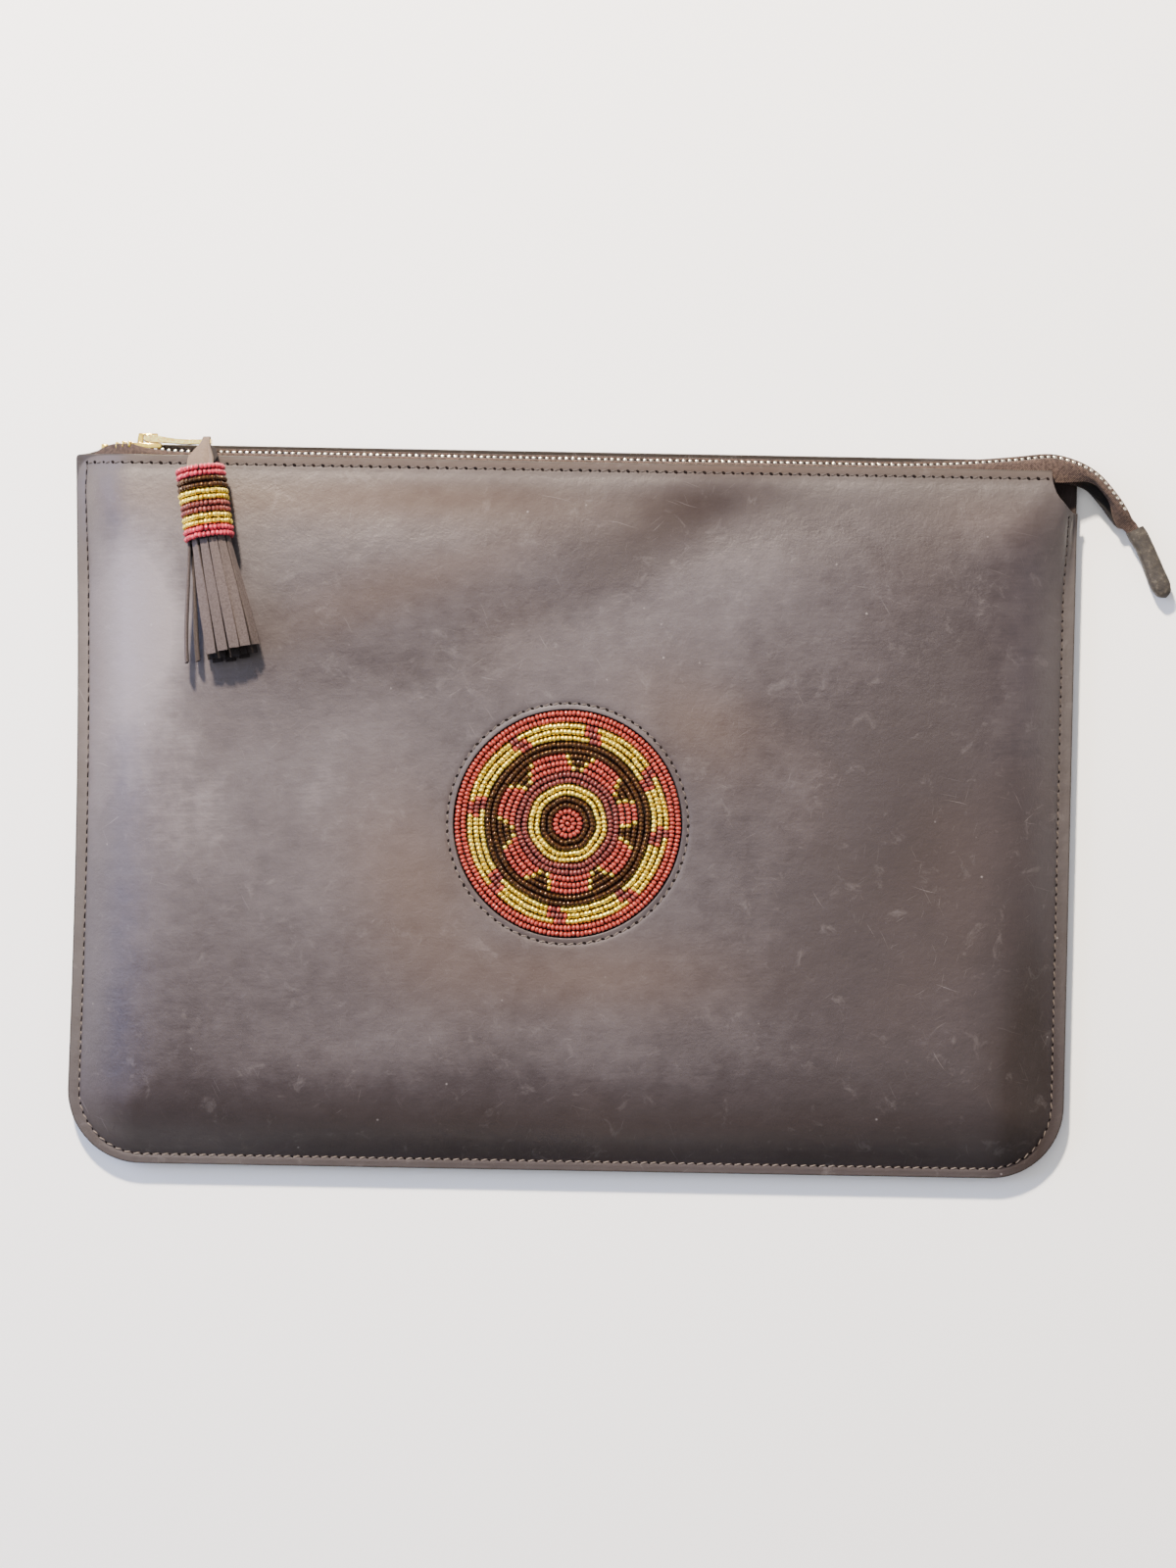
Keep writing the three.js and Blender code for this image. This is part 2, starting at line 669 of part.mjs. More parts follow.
const pull = new THREE.Group();
pull.position.set(slider.x, hinge.y, sliderZ);
pull.add(piece("pull_tab", pullTab(), brass));
pull.add(piece("tassel_strap", tasselStrap(), suedeLeather));
const hanging = new THREE.Group();
hanging.position.set(headPlace.x, headPlace.y, headPlace.z);
const degrees = THREE.MathUtils.degToRad;
hanging.rotation.set(degrees(-tassel.tilt), 0, degrees(tassel.lean), "ZXY");
hanging.add(piece("tassel_skirt", tasselSkirt(), suedeLeather));
hanging.add(piece("bead_collar", beadCollar(), redBeads));
pull.add(hanging);
sleeve.add(pull);

const tailPiece = piece("tail_tab", tailEnd(), waxedLeather);
const tailStart = tailRows[tabStartRow];
const tailStop = tailRows[tailRows.length - 1];
const tailAngle = Math.atan2(tailStop.y - tailStart.y, tailStop.x - tailStart.x);
const tailSet = { on: 0.2, out: 1.1 };
const tailHolder = new THREE.Group();
tailHolder.position.set(tailStart.x, tailStart.y, (tailStart.z + tailStop.z) / 2);
tailHolder.rotation.z = tailAngle;
tailPiece.position.set(tailSet.on, tailSet.out - tailTab.width, 0);
tailHolder.add(tailPiece);
sleeve.add(tailHolder);

export default sleeve;
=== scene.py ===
import math
import bpy
import numpy as np
from mathutils import Euler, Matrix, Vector


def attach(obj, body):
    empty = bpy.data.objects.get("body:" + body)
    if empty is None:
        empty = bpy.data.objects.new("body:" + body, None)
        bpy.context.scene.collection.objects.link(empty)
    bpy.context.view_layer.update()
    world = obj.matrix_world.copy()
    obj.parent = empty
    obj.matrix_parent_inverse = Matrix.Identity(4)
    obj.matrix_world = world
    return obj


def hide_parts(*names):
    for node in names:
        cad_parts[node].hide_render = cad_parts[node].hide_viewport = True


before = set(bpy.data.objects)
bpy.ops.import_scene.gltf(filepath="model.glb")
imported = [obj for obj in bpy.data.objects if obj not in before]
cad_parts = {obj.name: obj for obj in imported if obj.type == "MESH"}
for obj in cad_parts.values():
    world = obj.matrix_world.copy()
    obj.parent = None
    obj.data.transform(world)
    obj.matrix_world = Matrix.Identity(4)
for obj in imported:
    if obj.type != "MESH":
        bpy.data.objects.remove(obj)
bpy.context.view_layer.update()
mm = 0.001  # settings are in millimetres, meshes in metres
dice = np.random.default_rng(7)
print("frame loaded with", len(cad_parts), "nodes")


# helpers for tables and lines

def mix(a, b, share):
    return a + (b - a) * share


def easeBetween(low, high, value):
    share = np.clip((value - low) / (high - low), 0, 1)
    return share * share * (3 - 2 * share)


def throughRows(rows, count):  # a smooth line through rows of points, even in length
    rows = np.asarray(rows, float)
    before, after = 2 * rows[:1] - rows[1:2], 2 * rows[-1:] - rows[-2:-1]
    padded = np.concatenate([before, rows, after])
    spot = np.linspace(0, len(rows) - 1, 40 * len(rows))
    first = np.minimum(spot.astype(int), len(rows) - 2)
    t = (spot - first).reshape(-1, *[1] * (rows.ndim - 1))
    a, b, c, d = (padded[first + step] for step in range(4))
    line = 0.5 * (2 * b + (c - a) * t + (2 * a - 5 * b + 4 * c - d) * t ** 2 + (3 * b - a - 3 * c + d) * t ** 3)
    flat = line.reshape(len(line), -1)
    way = np.concatenate([[0], np.cumsum(np.linalg.norm(np.diff(flat, axis=0), axis=1))])
    places = np.linspace(0, way[-1], count)
    even = np.stack([np.interp(places, way, flat[:, k]) for k in range(flat.shape[1])], axis=1)
    return even.reshape(count, *rows.shape[1:])


def tableCurve(table, at):  # a smooth value from a table of (place, value), never past the values beside it
    places, values = np.array(table, float).T
    slopes = np.gradient(values, places)
    steps = np.diff(values) / np.diff(places)
    gentle = 3 * np.minimum(np.abs(steps[1:]), np.abs(steps[:-1])) * (steps[1:] * steps[:-1] > 0)
    slopes[1:-1] = np.clip(slopes[1:-1], -gentle, gentle)
    at = np.clip(at, places[0], places[-1])
    index = np.clip(np.searchsorted(places, at) - 1, 0, len(places) - 2)
    span = places[index + 1] - places[index]
    t = (at - places[index]) / span
    rise = (2 * t ** 3 - 3 * t ** 2 + 1) * values[index] + (3 * t ** 2 - 2 * t ** 3) * values[index + 1]
    return rise + span * ((t ** 3 - 2 * t ** 2 + t) * slopes[index] + (t ** 3 - t ** 2) * slopes[index + 1])


def straightCurve(table, at):  # the same with straight runs between the places
    return np.interp(at, *np.array(table, float).T)


# helpers for meshes

def deselect():
    if bpy.context.mode != "OBJECT":
        bpy.ops.object.mode_set(mode="OBJECT")
    bpy.ops.object.select_all(action="DESELECT")


def pick(piece):  # selects one piece alone and makes it the active one
    deselect()
    piece.select_set(True)
    bpy.context.view_layer.objects.active = piece


def places(piece):  # the piece's points in millimetres
    flat = np.empty(len(piece.data.vertices) * 3)
    piece.data.vertices.foreach_get("co", flat)
    return flat.reshape(-1, 3) / mm


def moveTo(piece, at):  # puts the piece's points at places in millimetres
    piece.data.vertices.foreach_set("co", (at * mm).ravel())


def wrapGrid(name, grid):  # a grid primitive, wrapped onto rows and columns of places
    rows, columns = grid.shape[0] - 1, grid.shape[1] - 1
    deselect()
    bpy.ops.mesh.primitive_grid_add(x_subdivisions=columns, y_subdivisions=rows, size=2)
    piece = bpy.context.object
    piece.name = piece.data.name = name
    flat = places(piece) * mm
    column = np.rint((flat[:, 0] + 1) / 2 * columns).astype(int)
    row = np.rint((flat[:, 1] + 1) / 2 * rows).astype(int)
    moveTo(piece, grid[row, column])
    piece.data.update()
    return piece


def weld(piece, outward=False):  # closes the seam where a wrapped grid meets itself
    pick(piece)
    bpy.ops.object.mode_set(mode="EDIT")
    bpy.ops.mesh.select_all(action="SELECT")
    bpy.ops.mesh.remove_doubles(threshold=1e-6)
    if outward:
        bpy.ops.mesh.normals_make_consistent(inside=False)
    bpy.ops.object.mode_set(mode="OBJECT")


def applied(piece, kind, **settings):  # adds a modifier and applies it
    pick(piece)
    modifier = piece.modifiers.new(kind.lower(), kind)
    for key, value in settings.items():
        setattr(modifier, key, value)
    bpy.ops.object.modifier_apply(modifier=modifier.name)


def bevelled(piece, width, segments=3, degrees=50):  # rounds the edges that are sharper than an angle
    applied(piece, "BEVEL", width=width * mm, segments=segments, limit_method="ANGLE",
            angle_limit=math.radians(degrees))


def smoothFaces(piece, degrees=35):
    pick(piece)
    bpy.ops.object.shade_smooth_by_angle(angle=math.radians(degrees))


def pointValue(piece, name, values):  # a number on each point, for the material
    layer = piece.data.attributes.new(name, "FLOAT", "POINT")
    layer.data.foreach_set("value", np.asarray(values, np.float32))


def dress(piece, material, body, nodes=()):
    piece.data.materials.clear()
    piece.data.materials.append(material)
    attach(piece, body)
    if nodes:
        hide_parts(*nodes)
    return piece


def shapeOnce(template):  # a small shape modelled once: its points and faces as arrays
    mesh = template.data
    loops = np.empty(len(mesh.loops), np.int32)
    mesh.loops.foreach_get("vertex_index", loops)
    starts = np.empty(len(mesh.polygons), np.int32)
    mesh.polygons.foreach_get("loop_start", starts)
    shape = dict(points=places(template), loops=loops, starts=starts)
    bpy.data.objects.remove(template)
    return shape


def copiesOf(shape, name, origins, turns, sizes):  # copies of a small shape joined in one mesh
    count, size = len(origins), len(shape["points"])
    scaled = shape["points"][None] * np.asarray(sizes, float).reshape(count, -1, 3)
    points = np.einsum("nij,nkj->nki", turns, scaled) + np.asarray(origins, float)[:, None]
    step = np.arange(count)[:, None]
    mesh = bpy.data.meshes.new(name)
    mesh.vertices.add(count * size)
    mesh.vertices.foreach_set("co", (points * mm).ravel())
    mesh.loops.add(count * len(shape["loops"]))
    mesh.loops.foreach_set("vertex_index", (shape["loops"][None] + step * size).ravel().astype(np.int32))
    mesh.polygons.add(count * len(shape["starts"]))
    starts = (shape["starts"][None] + step * len(shape["loops"])).ravel().astype(np.int32)
    mesh.polygons.foreach_set("loop_start", starts)
    mesh.update(calc_edges=True)
    mesh.validate()
    piece = bpy.data.objects.new(name, mesh)
    bpy.context.scene.collection.objects.link(piece)
    return piece


def turnsFrom(along, up):  # square axes for each copy: x along, z up
    along = along / np.linalg.norm(along, axis=1, keepdims=True)
    side = np.cross(up, along)
    side = side / np.linalg.norm(side, axis=1, keepdims=True)
    return np.stack([along, side, np.cross(along, side)], axis=2)


def nodeCopy(node, name, plain=True):  # a copy of a CAD node's mesh, welded, for a finer piece of the same form
    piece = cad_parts[node].copy()
    piece.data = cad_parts[node].data.copy()
    piece.name = piece.data.name = name
    for key in list(piece.keys()):
        del piece[key]
    piece.parent = None
    bpy.context.scene.collection.objects.link(piece)
    weld(piece)
    if plain:
        bpy.ops.object.mode_set(mode="EDIT")
        bpy.ops.mesh.dissolve_limited(angle_limit=math.radians(2))
        bpy.ops.object.mode_set(mode="OBJECT")
    return piece


# helpers for materials

def linearColor(text):  # sRGB hex to linear
    parts = [int(text[k:k + 2], 16) / 255 for k in (1, 3, 5)]
    return [c / 12.92 if c <= 0.04045 else ((c + 0.055) / 1.055) ** 2.4 for c in parts] + [1]


def grain(size):  # texture scale for a feature of that many millimetres
    return 1 / (size * mm)


def addNode(tree, kind, settings, links):
    node = tree.nodes.new("ShaderNode" + kind)
    for key, value in settings.items():
        if key == "stops":
            ramp = node.color_ramp.elements
            while len(ramp) < len(value):
                ramp.new(0.5)
            for element, (place, tone) in zip(ramp, value):
                element.position = place
                element.color = linearColor(tone) if isinstance(tone, str) else [tone] * 3 + [1]
        elif isinstance(key, int) or key in node.inputs:
            node.inputs[key].default_value = value
        else:
            setattr(node, key, value)
    for key, source in links.items():
        tree.links.new(source.outputs[0] if hasattr(source, "outputs") else source, node.inputs[key])
    return node


def startMaterial(name):
    material = bpy.data.materials.new(name)
    material.use_nodes = True
    material.node_tree.nodes.clear()
    return material, material.node_tree


def endMaterial(material, settings, links):
    tree = material.node_tree
    shader = addNode(tree, "BsdfPrincipled", settings, links)
    addNode(tree, "OutputMaterial", {}, {"Surface": shader})
    return material


# the leather panels: form

panel = dict(
    halfWidth=170, halfHeight=120.5, leather=1.8, corner=25, innerCorner=4, leftBow=1.6,
    edgeLift=2.6, seamGap=0.3, hollow=19, backReach=4, scoopWide=10, scoopDeep=14, scoopFade=22, squareCorner=1.2,
    rimStands=7, swellFrom=(6, 34), edgeBevel=0.3,
    rise=[(0, 0), (4, 0.02), (8, 0.2), (13, 0.48), (20, 0.77), (29, 0.94), (40, 1)],
    lift=[(0, 1), (4, 0.97), (8, 0.72), (13, 0.38), (20, 0.1), (29, 0), (40, 0)],
    mouth=[(-170, 0), (-166, 1.5), (-161, 5.5), (-154, 9.4), (-148, 10.2), (170, 10.2)],
    cornerOpen=[(0, 0.93), (5, 0.68), (11, 0.3), (17, 0.06), (24, 0)],
    mouthFade=(6, 45), cornerFrom=162, cornerSoftness=9, frontRings=16, backRings=6,
)
disc = dict(x=-1, y=-1.3, stitchRadius=40.6, calm=(42.6, 70))
seams = dict(top=2.8, left=4.2, bottom=3.4, right=5.0, groove=0.25, grooveWidth=0.75, pitch=3.2,
             topGroove=0.3, topFrom=(100, 112), slitsFrom=(-150, -100), scoopEnd=1.5, scoopStart=(0.2, 1.2))
# soft swells of the filled front: x, y, reach along, reach across, turn in degrees, height
swells = [
    (-60, 88, 80, 16, 23, 0.8), (-14, 72, 95, 17, 23, -0.7), (62, 82, 40, 20, 10, 0.7),
    (-118, -10, 34, 70, 0, 0.6), (80, -48, 60, 30, 0, 0.5), (0, -62, 60, 16, 0, -0.4),
]
# where the wax lies darker or has been rubbed paler, together with painted shade (darker toward the bottom, the lower
# right and the top edge, and a dark diagonal band near the top) and a painted highlight down the left: the same
# columns, then tone
waxAndShadeTones = [
    (-40, 106, 44, 11, 0, -0.2), (14, 87, 42, 12, 32, -0.14), (-40, 58, 30, 9, 24, -0.1),
    (38, 101, 36, 14, 28, -0.3), (-76, 45, 36, 14, 10, -0.12), (58, 76, 46, 24, 5, 0.14),
    (-150, 66, 16, 36, 0, 0.5), (-145, 20, 26, 60, 0, 0.2), (-70, 0, 30, 40, 0, 0.16),
    (112, -12, 54, 80, 0, -0.26), (106, 90, 30, 16, 0, -0.1), (70, -50, 40, 30, 0, -0.1),
    (-100, -103, 75, 12, -3, -0.22), (10, -99, 70, 15, 4, -0.22), (112, -95, 60, 19, 8, -0.2),
    (20, -114, 170, 5, 0, -0.26), (110, -108, 70, 10, 0, -0.14), (157, -86, 11, 40, 0, -0.5),
    (-163, 45, 4.5, 55, 0, 0.2), (0, -119.5, 400, 2.5, 0, -0.1), (-156, -92, 17, 26, 0, -0.1),
    (30, 109, 150, 8, 0, -0.18), (0, 119.5, 400, 2.2, 0, -0.16), (152, 78, 16, 24, 0, -0.04),
    (156, -30, 12, 50, 0, -0.06), (-155, -30, 10, 30, 0, -0.08), (-77, -55, 25, 20, 0, -0.06),
    (122, -2, 30, 62, 0, -0.13), (-77, -95, 24, 12, 0, -0.06), (72, -88, 30, 16, 0, 0.06),
]
# painted shade inside the back panel, at the scoop and along the mouth, where the front panel shades it
backShade = [(168, 112, 13, 16, 0, -0.55), (0, 124, 400, 3, 0, -0.4)]  # inside the back panel, at scoop and mouth
# where the tan under the wax shows through: the same columns, then how much
warmTones = [
    (-52, -22, 22, 34, 20, 0.45), (6, -52, 46, 13, 0, 0.4), (-58, 78, 50, 9, 20, 0.3),
    (-110, 108, 62, 8, 0, 0.5), (40, 34, 26, 16, -30, 0.3), (140, 106, 24, 10, 0, 0.2),
    (-36, 107, 50, 8, 0, 0.3), (0, 119.5, 400, 2.6, 0, 0.5), (20, -106, 130, 9, 0, 0.16),
    (-165, 45, 8, 60, 0, 0.4),
]


def softSpots(table, x, y):  # the sum of soft oval spots at each place
    total = np.zeros_like(x)
    for atX, atY, along, across, turn, height in table:
        c, s = math.cos(math.radians(turn)), math.sin(math.radians(turn))
        u, v = (x - atX) * c + (y - atY) * s, (y - atY) * c - (x - atX) * s
        total = total + height * np.exp(-(u / along) ** 2 - (v / across) ** 2)
    return total


def seamInset(x, y):  # how far in from the edge the stitches run, by side
    toTop, toLeft = panel["halfHeight"] - y, panel["halfWidth"] + x
    toRight, toBottom = panel["halfWidth"] - x, panel["halfHeight"] + y
    nearest = np.argmin(np.stack([toTop, toLeft, toRight, toBottom]), axis=0)
    return np.choose(nearest, [seams["top"], seams["left"], seams["right"], seams["bottom"]])


def softMin(a, b, reach):
    h = np.maximum(reach - np.abs(a - b), 0) / reach
    return np.minimum(a, b) - h * h * reach / 4


def panelInset(x, y):  # how far in from the panel's edge a point lies
    bowFrom = panel["corner"] - panel["halfHeight"]
    share = np.clip((y - bowFrom) / (panel["halfHeight"] - bowFrom), 0, 1)
    left = x + panel["halfWidth"] - panel["leftBow"] * np.sin(np.pi * share)
    right = panel["halfWidth"] - x
    top, bottom = panel["halfHeight"] - y, y + panel["halfHeight"]
    side = np.minimum(left, right)
    overSide, overLow = np.maximum(panel["corner"] - side, 0), np.maximum(panel["corner"] - bottom, 0)
    rounded = panel["corner"] - np.hypot(overSide, overLow)
    inCorner = (overSide > 0) & (overLow > 0)
    reach = 0.01 + panel["cornerSoftness"] * easeBetween(panel["corner"], frontInsets[-1], np.minimum(side, bottom))
    belowTop = np.where(inCorner, rounded, softMin(side, bottom, reach))
    return np.maximum(softMin(belowTop, top, panel["cornerSoftness"]), 0)


def mouthGap(x, depth):
    along = tableCurve(panel["mouth"], x)
    fade = 1 - easeBetween(*panel["mouthFade"], depth)
    atCorner = easeBetween(panel["cornerFrom"], panel["halfWidth"], x)
    return along * mix(fade, tableCurve(panel["cornerOpen"], depth), atCorner)


def frontHeight(x, y):  # the inner face of the front panel
    inset = panelInset(x, y)
    edge = panel["edgeLift"] + panel["leather"] + panel["seamGap"] + mouthGap(x, panel["halfHeight"] - y)
    height = mix(edge, panel["hollow"], tableCurve(panel["rise"], inset))
    fromDisc = np.hypot(x - disc["x"], y - disc["y"])
    calm = easeBetween(*disc["calm"], fromDisc) * easeBetween(*panel["swellFrom"], inset)
    return height + calm * softSpots(swells, x, y)


def seamGroove(x, y):  # how deep the pulled thread has drawn the leather in
    inset = panelInset(x, y)
    fromDisc = np.hypot(x - disc["x"], y - disc["y"])
    groove = np.exp(-((inset - seamInset(x, y)) / seams["grooveWidth"]) ** 2)
    ring = np.exp(-((fromDisc - disc["stitchRadius"]) / seams["grooveWidth"]) ** 2)
    return seams["groove"] * (groove * mix(1, seams["topGroove"], easeBetween(*seams["topFrom"], y)) + ring)


def frontFace(x, y):  # the outer face of the front panel: place and normal
    step = 0.05
    ease = easeBetween(0, panel["rimStands"], panelInset(x, y)) / (2 * step)  # the rim stands straight up
    slopeX = (frontHeight(x + step, y) - frontHeight(x - step, y)) * ease
    slopeY = (frontHeight(x, y + step) - frontHeight(x, y - step)) * ease
    normal = np.stack([-slopeX, -slopeY, np.ones_like(slopeX)], axis=-1)
    normal = normal / np.linalg.norm(normal, axis=-1, keepdims=True)
    base = np.stack([x, y, frontHeight(x, y)], axis=-1)
    return base + normal * (panel["leather"] - seamGroove(x, y))[..., None], normal


def edgeRing(inset, reach, scoop):  # points round a panel, clockwise from the top left
    half, low, high = panel["halfWidth"] - inset, inset - panel["halfHeight"], panel["halfHeight"] - inset
    radius = max(panel["corner"] - inset, panel["innerCorner"])
    deep = min(inset / panel["scoopFade"], 1)
    near = mix(panel["squareCorner"], panel["innerCorner"], deep)
    wide, tall = (mix(panel[size], panel["innerCorner"], deep) if scoop else near
                  for size in ("scoopWide", "scoopDeep"))
    hollow = 1 - deep if scoop else 0
    share = {side: np.linspace(0, 1, count, endpoint=False) for side, count in panelSteps.items()}
    x = mix(near - half, half - wide, share["top"])
    line = [np.stack([x, high + reach * tableCurve(panel["mouth"], x) / panel["mouth"][-1][1]], axis=1)]
    a, top = share["topRight"] * np.pi / 2, high + reach
    dented = np.stack([half - wide * np.cos(a), top - tall * np.sin(a)], axis=1)
    rounded = np.stack([half - wide + wide * np.sin(a), top - tall + tall * np.cos(a)], axis=1)
    line.append(mix(rounded, dented, hollow))
    y = mix(top - tall, low + radius, share["right"])
    line.append(np.stack([np.full_like(y, half), y], axis=1))
    a = share["lowRight"] * np.pi / 2
    line.append(np.stack([half - radius + radius * np.cos(a), low + radius - radius * np.sin(a)], axis=1))
    x = mix(half - radius, radius - half, share["bottom"])
    line.append(np.stack([x, np.full_like(x, low)], axis=1))
    a = share["lowLeft"] * np.pi / 2
    line.append(np.stack([radius - half - radius * np.sin(a), low + radius - radius * np.cos(a)], axis=1))
    y = mix(low + radius, high - near, share["left"])
    bow = panel["leftBow"] * np.sin(np.pi * share["left"])
    line.append(np.stack([bow - half, y], axis=1))
    a = share["topLeft"] * np.pi / 2
    line.append(np.stack([near - half - near * np.cos(a), high - near + near * np.sin(a)], axis=1))
    return np.concatenate(line)


panelSteps = dict(top=116, topRight=16, right=60, lowRight=18, bottom=104, lowLeft=18, left=64, topLeft=6)
frontInsets = [0, 0.5, 0.8, 1.1, 1.5, 1.8, 2.1, 2.4, 2.7, 3, 3.3, 3.6, 3.9, 4.2, 4.5, 4.9, 5.4, 6.1, 7,
               8.2, 9.6, 11.2, 13, 15.2, 17.8, 21, 25, 29.5, 34.5, 40]
backInsets = [0, 0.4, 1, 2, 3.2, 4.5, 6, 8, 10.5, 13.5, 17, 21, 26, 32, 40]
backRadii = [30, 18, 8, 0]
discRadii = [52, 48.5, 46, 44, 42.6, 41.7, 41.2, 40.9, 40.6, 40.3, 40, 39.5, 39, 38.6]


def panelGrid(insets, reach, scoop, radii, between):  # x and y of a whole panel, from its middle outwards
    rings = [edgeRing(inset, reach, scoop) for inset in insets]
    middle = np.array([disc["x"], disc["y"]])
    out = rings[-1] - middle
    far = np.linalg.norm(out, axis=1, keepdims=True)
    for step in range(1, between + 1):
        rings.append(middle + out / far * mix(far, radii[0], step / between))
    rings += [middle + out / far * radius for radius in radii[1:]]
    grid = np.array(rings[::-1])
    return np.concatenate([grid, grid[:, :1]], axis=1)


def finishPanel(piece, tonesAndShade):
    weld(piece, outward=True)
    bevelled(piece, panel["edgeBevel"], 2)
    smoothFaces(piece)
    at = places(piece)
    pointValue(piece, "edgeInset", panelInset(at[:, 0], at[:, 1]))
    pointValue(piece, "waxTone", softSpots(tonesAndShade, at[:, 0], at[:, 1]))
    pointValue(piece, "warmTone", softSpots(warmTones, at[:, 0], at[:, 1]))


frontGrid = panelGrid(frontInsets, 0, True, discRadii, panel["frontRings"])
outer = frontFace(frontGrid[..., 0], frontGrid[..., 1])[0]
inner = np.dstack([frontGrid, frontHeight(frontGrid[..., 0], frontGrid[..., 1])])
frontLeather = wrapGrid("frontLeather", np.concatenate([outer, inner[::-1], outer[:1]]))
finishPanel(frontLeather, waxAndShadeTones)

backGrid = panelGrid(backInsets, panel["backReach"], False, backRadii, panel["backRings"])
depths = np.pad(backInsets[::-1], (len(backGrid) - len(backInsets), 0), mode="edge")
backLift = tableCurve(panel["lift"], np.repeat(depths[:, None], backGrid.shape[1], axis=1))
under, over = (np.dstack([backGrid, panel["edgeLift"] * backLift + up]) for up in (0, panel["leather"]))
backLeather = wrapGrid("backLeather", np.concatenate([over, under[::-1]]))
finishPanel(backLeather, backShade)
print("panels made:", len(frontLeather.data.polygons), "and", len(backLeather.data.polygons), "faces")


# seams: thread, and dark spots painted as the shade in the pricked holes

stitch = dict(width=0.46, height=0.38, lift=0.1, dip=0.3, slant=17, vary=(0.92, 1.08), holeVary=(0.85, 1.15))
# pricks along the top and round the disc, long slits up the left, small holes along the bottom and right:
# size of the hole, its slant, and length of the thread between
stitchKinds = [((1.45, 1.0, 0.3), -34, 2.6), ((2.5, 0.72, 0.3), -8, 1.6), ((1.15, 0.8, 0.3), -34, 2.9)]


def alongPath(path, pitch):  # even steps along a line of points
    way = np.concatenate([[0], np.cumsum(np.linalg.norm(np.diff(path, axis=0), axis=1))])
    count = max(int(round(way[-1] / pitch)), 1)
    at = np.linspace(0, way[-1], count + 1)
    return np.stack([np.interp(at, way, path[:, k]) for k in range(path.shape[1])], axis=1)


def seamPaths():
    half, high = panel["halfWidth"], panel["halfHeight"]
    left, right, bottom, top = (seams[side] for side in ("left", "right", "bottom", "top"))
    upper = np.array([[left - half, high - top], [half - panel["scoopWide"] - seams["scoopEnd"], high - top]])
    radius = panel["corner"] - bottom
    arc = np.linspace(0, np.pi / 2, 14)
    downRight = np.stack([half - right - radius + radius * np.cos(arc),
                          bottom - high + radius - radius * np.sin(arc)], axis=1)
    downLeft = np.stack([left - half + radius - radius * np.sin(arc),
                         bottom - high + radius - radius * np.cos(arc)], axis=1)
    aside, below = seams["scoopStart"]
    start = np.array([[half - right + aside, high - panel["scoopDeep"] - below]])
    rise = np.linspace(0, 1, 30)[1:]
    y = mix(bottom - high + radius, high - top, rise)
    bowed = np.stack([left - half + panel["leftBow"] * np.sin(np.pi * rise), y], axis=1)
    return [upper, np.concatenate([start, downRight, downLeft, bowed])]


def layStitches(path):  # middles and directions of the stitches, and the holes between them
    holes = alongPath(path, seams["pitch"])
    return 0.5 * (holes[1:] + holes[:-1]), holes[1:] - holes[:-1], holes


def kindsAlong(at, seam):  # the second seam runs down the right, along the bottom and up the left
    leftOf, above = seams["slitsFrom"]
    return np.where(seam != 1, 0, np.where((at[:, 0] < leftOf) & (at[:, 1] > above), 1, 2))


ringAngle = np.linspace(0, 2 * np.pi, 361)
ringPath = np.stack([disc["x"] + disc["stitchRadius"] * np.cos(ringAngle),
                     disc["y"] + disc["stitchRadius"] * np.sin(ringAngle)], axis=1)
laid = [layStitches(path) for path in seamPaths() + [ringPath]]
threadAt, threadAlong, holeAt = (np.concatenate(parts) for parts in zip(*laid))
holeAlong = np.concatenate([np.concatenate([part[1], part[1][-1:]]) for part in laid])
threadKind, holeKind = (np.concatenate([kindsAlong(part[k], seam) for seam, part in enumerate(laid)]) for k in (0, 2))
holeSize, holeSlant, threadLength = (np.array(column, float) for column in zip(*stitchKinds))


def flatTurns(along, normal, degrees):  # axes along a seam on the leather, turned by a slant
    along3 = np.concatenate([along, np.zeros((len(along), 1))], axis=1)
    along3 = along3 - normal * np.sum(along3 * normal, axis=1, keepdims=True)
    slant = np.radians(degrees)[:, None]
    return turnsFrom(along3 * np.cos(slant) + np.cross(normal, along3) * np.sin(slant), normal)


deselect()
bpy.ops.mesh.primitive_uv_sphere_add(segments=8, ring_count=8, radius=0.5 * mm, rotation=(0, math.pi / 2, 0))
bpy.ops.object.transform_apply(rotation=True)
threadShape = shapeOnce(bpy.context.object)
threadShape["points"][:, 2] -= stitch["dip"] * threadShape["points"][:, 0] ** 2 * 4 / stitch["height"]
threadFace, threadUp = frontFace(threadAt[:, 0], threadAt[:, 1])
sizes = np.tile([1, stitch["width"], stitch["height"]], (len(threadAt), 1, 1))
sizes = sizes * dice.uniform(*stitch["vary"], (len(threadAt), 1, 3))
sizes[:, 0, 0] *= threadLength[threadKind]
turns = flatTurns(threadAlong, threadUp, np.full(len(threadAt), stitch["slant"]))
seamThread = copiesOf(threadShape, "seamThread", threadFace + threadUp * stitch["lift"], turns, sizes)
smoothFaces(seamThread, 180)

# the holes are not cut: dark spots set into the face are painted shade
deselect()
bpy.ops.mesh.primitive_uv_sphere_add(segments=8, ring_count=5, radius=0.5 * mm)
holeShape = shapeOnce(bpy.context.object)
holeFace, holeUp = frontFace(holeAt[:, 0], holeAt[:, 1])
sizes = holeSize[holeKind][:, None] * dice.uniform(*stitch["holeVary"], (len(holeAt), 1, 1))
turns = flatTurns(holeAlong, holeUp, holeSlant[holeKind])
stitchHoleShadows = copiesOf(holeShape, "stitchHoleShadows", holeFace, turns, sizes)
smoothFaces(stitchHoleShadows, 180)
print("seams sewn:", len(threadAt), "stitches")


# beadwork

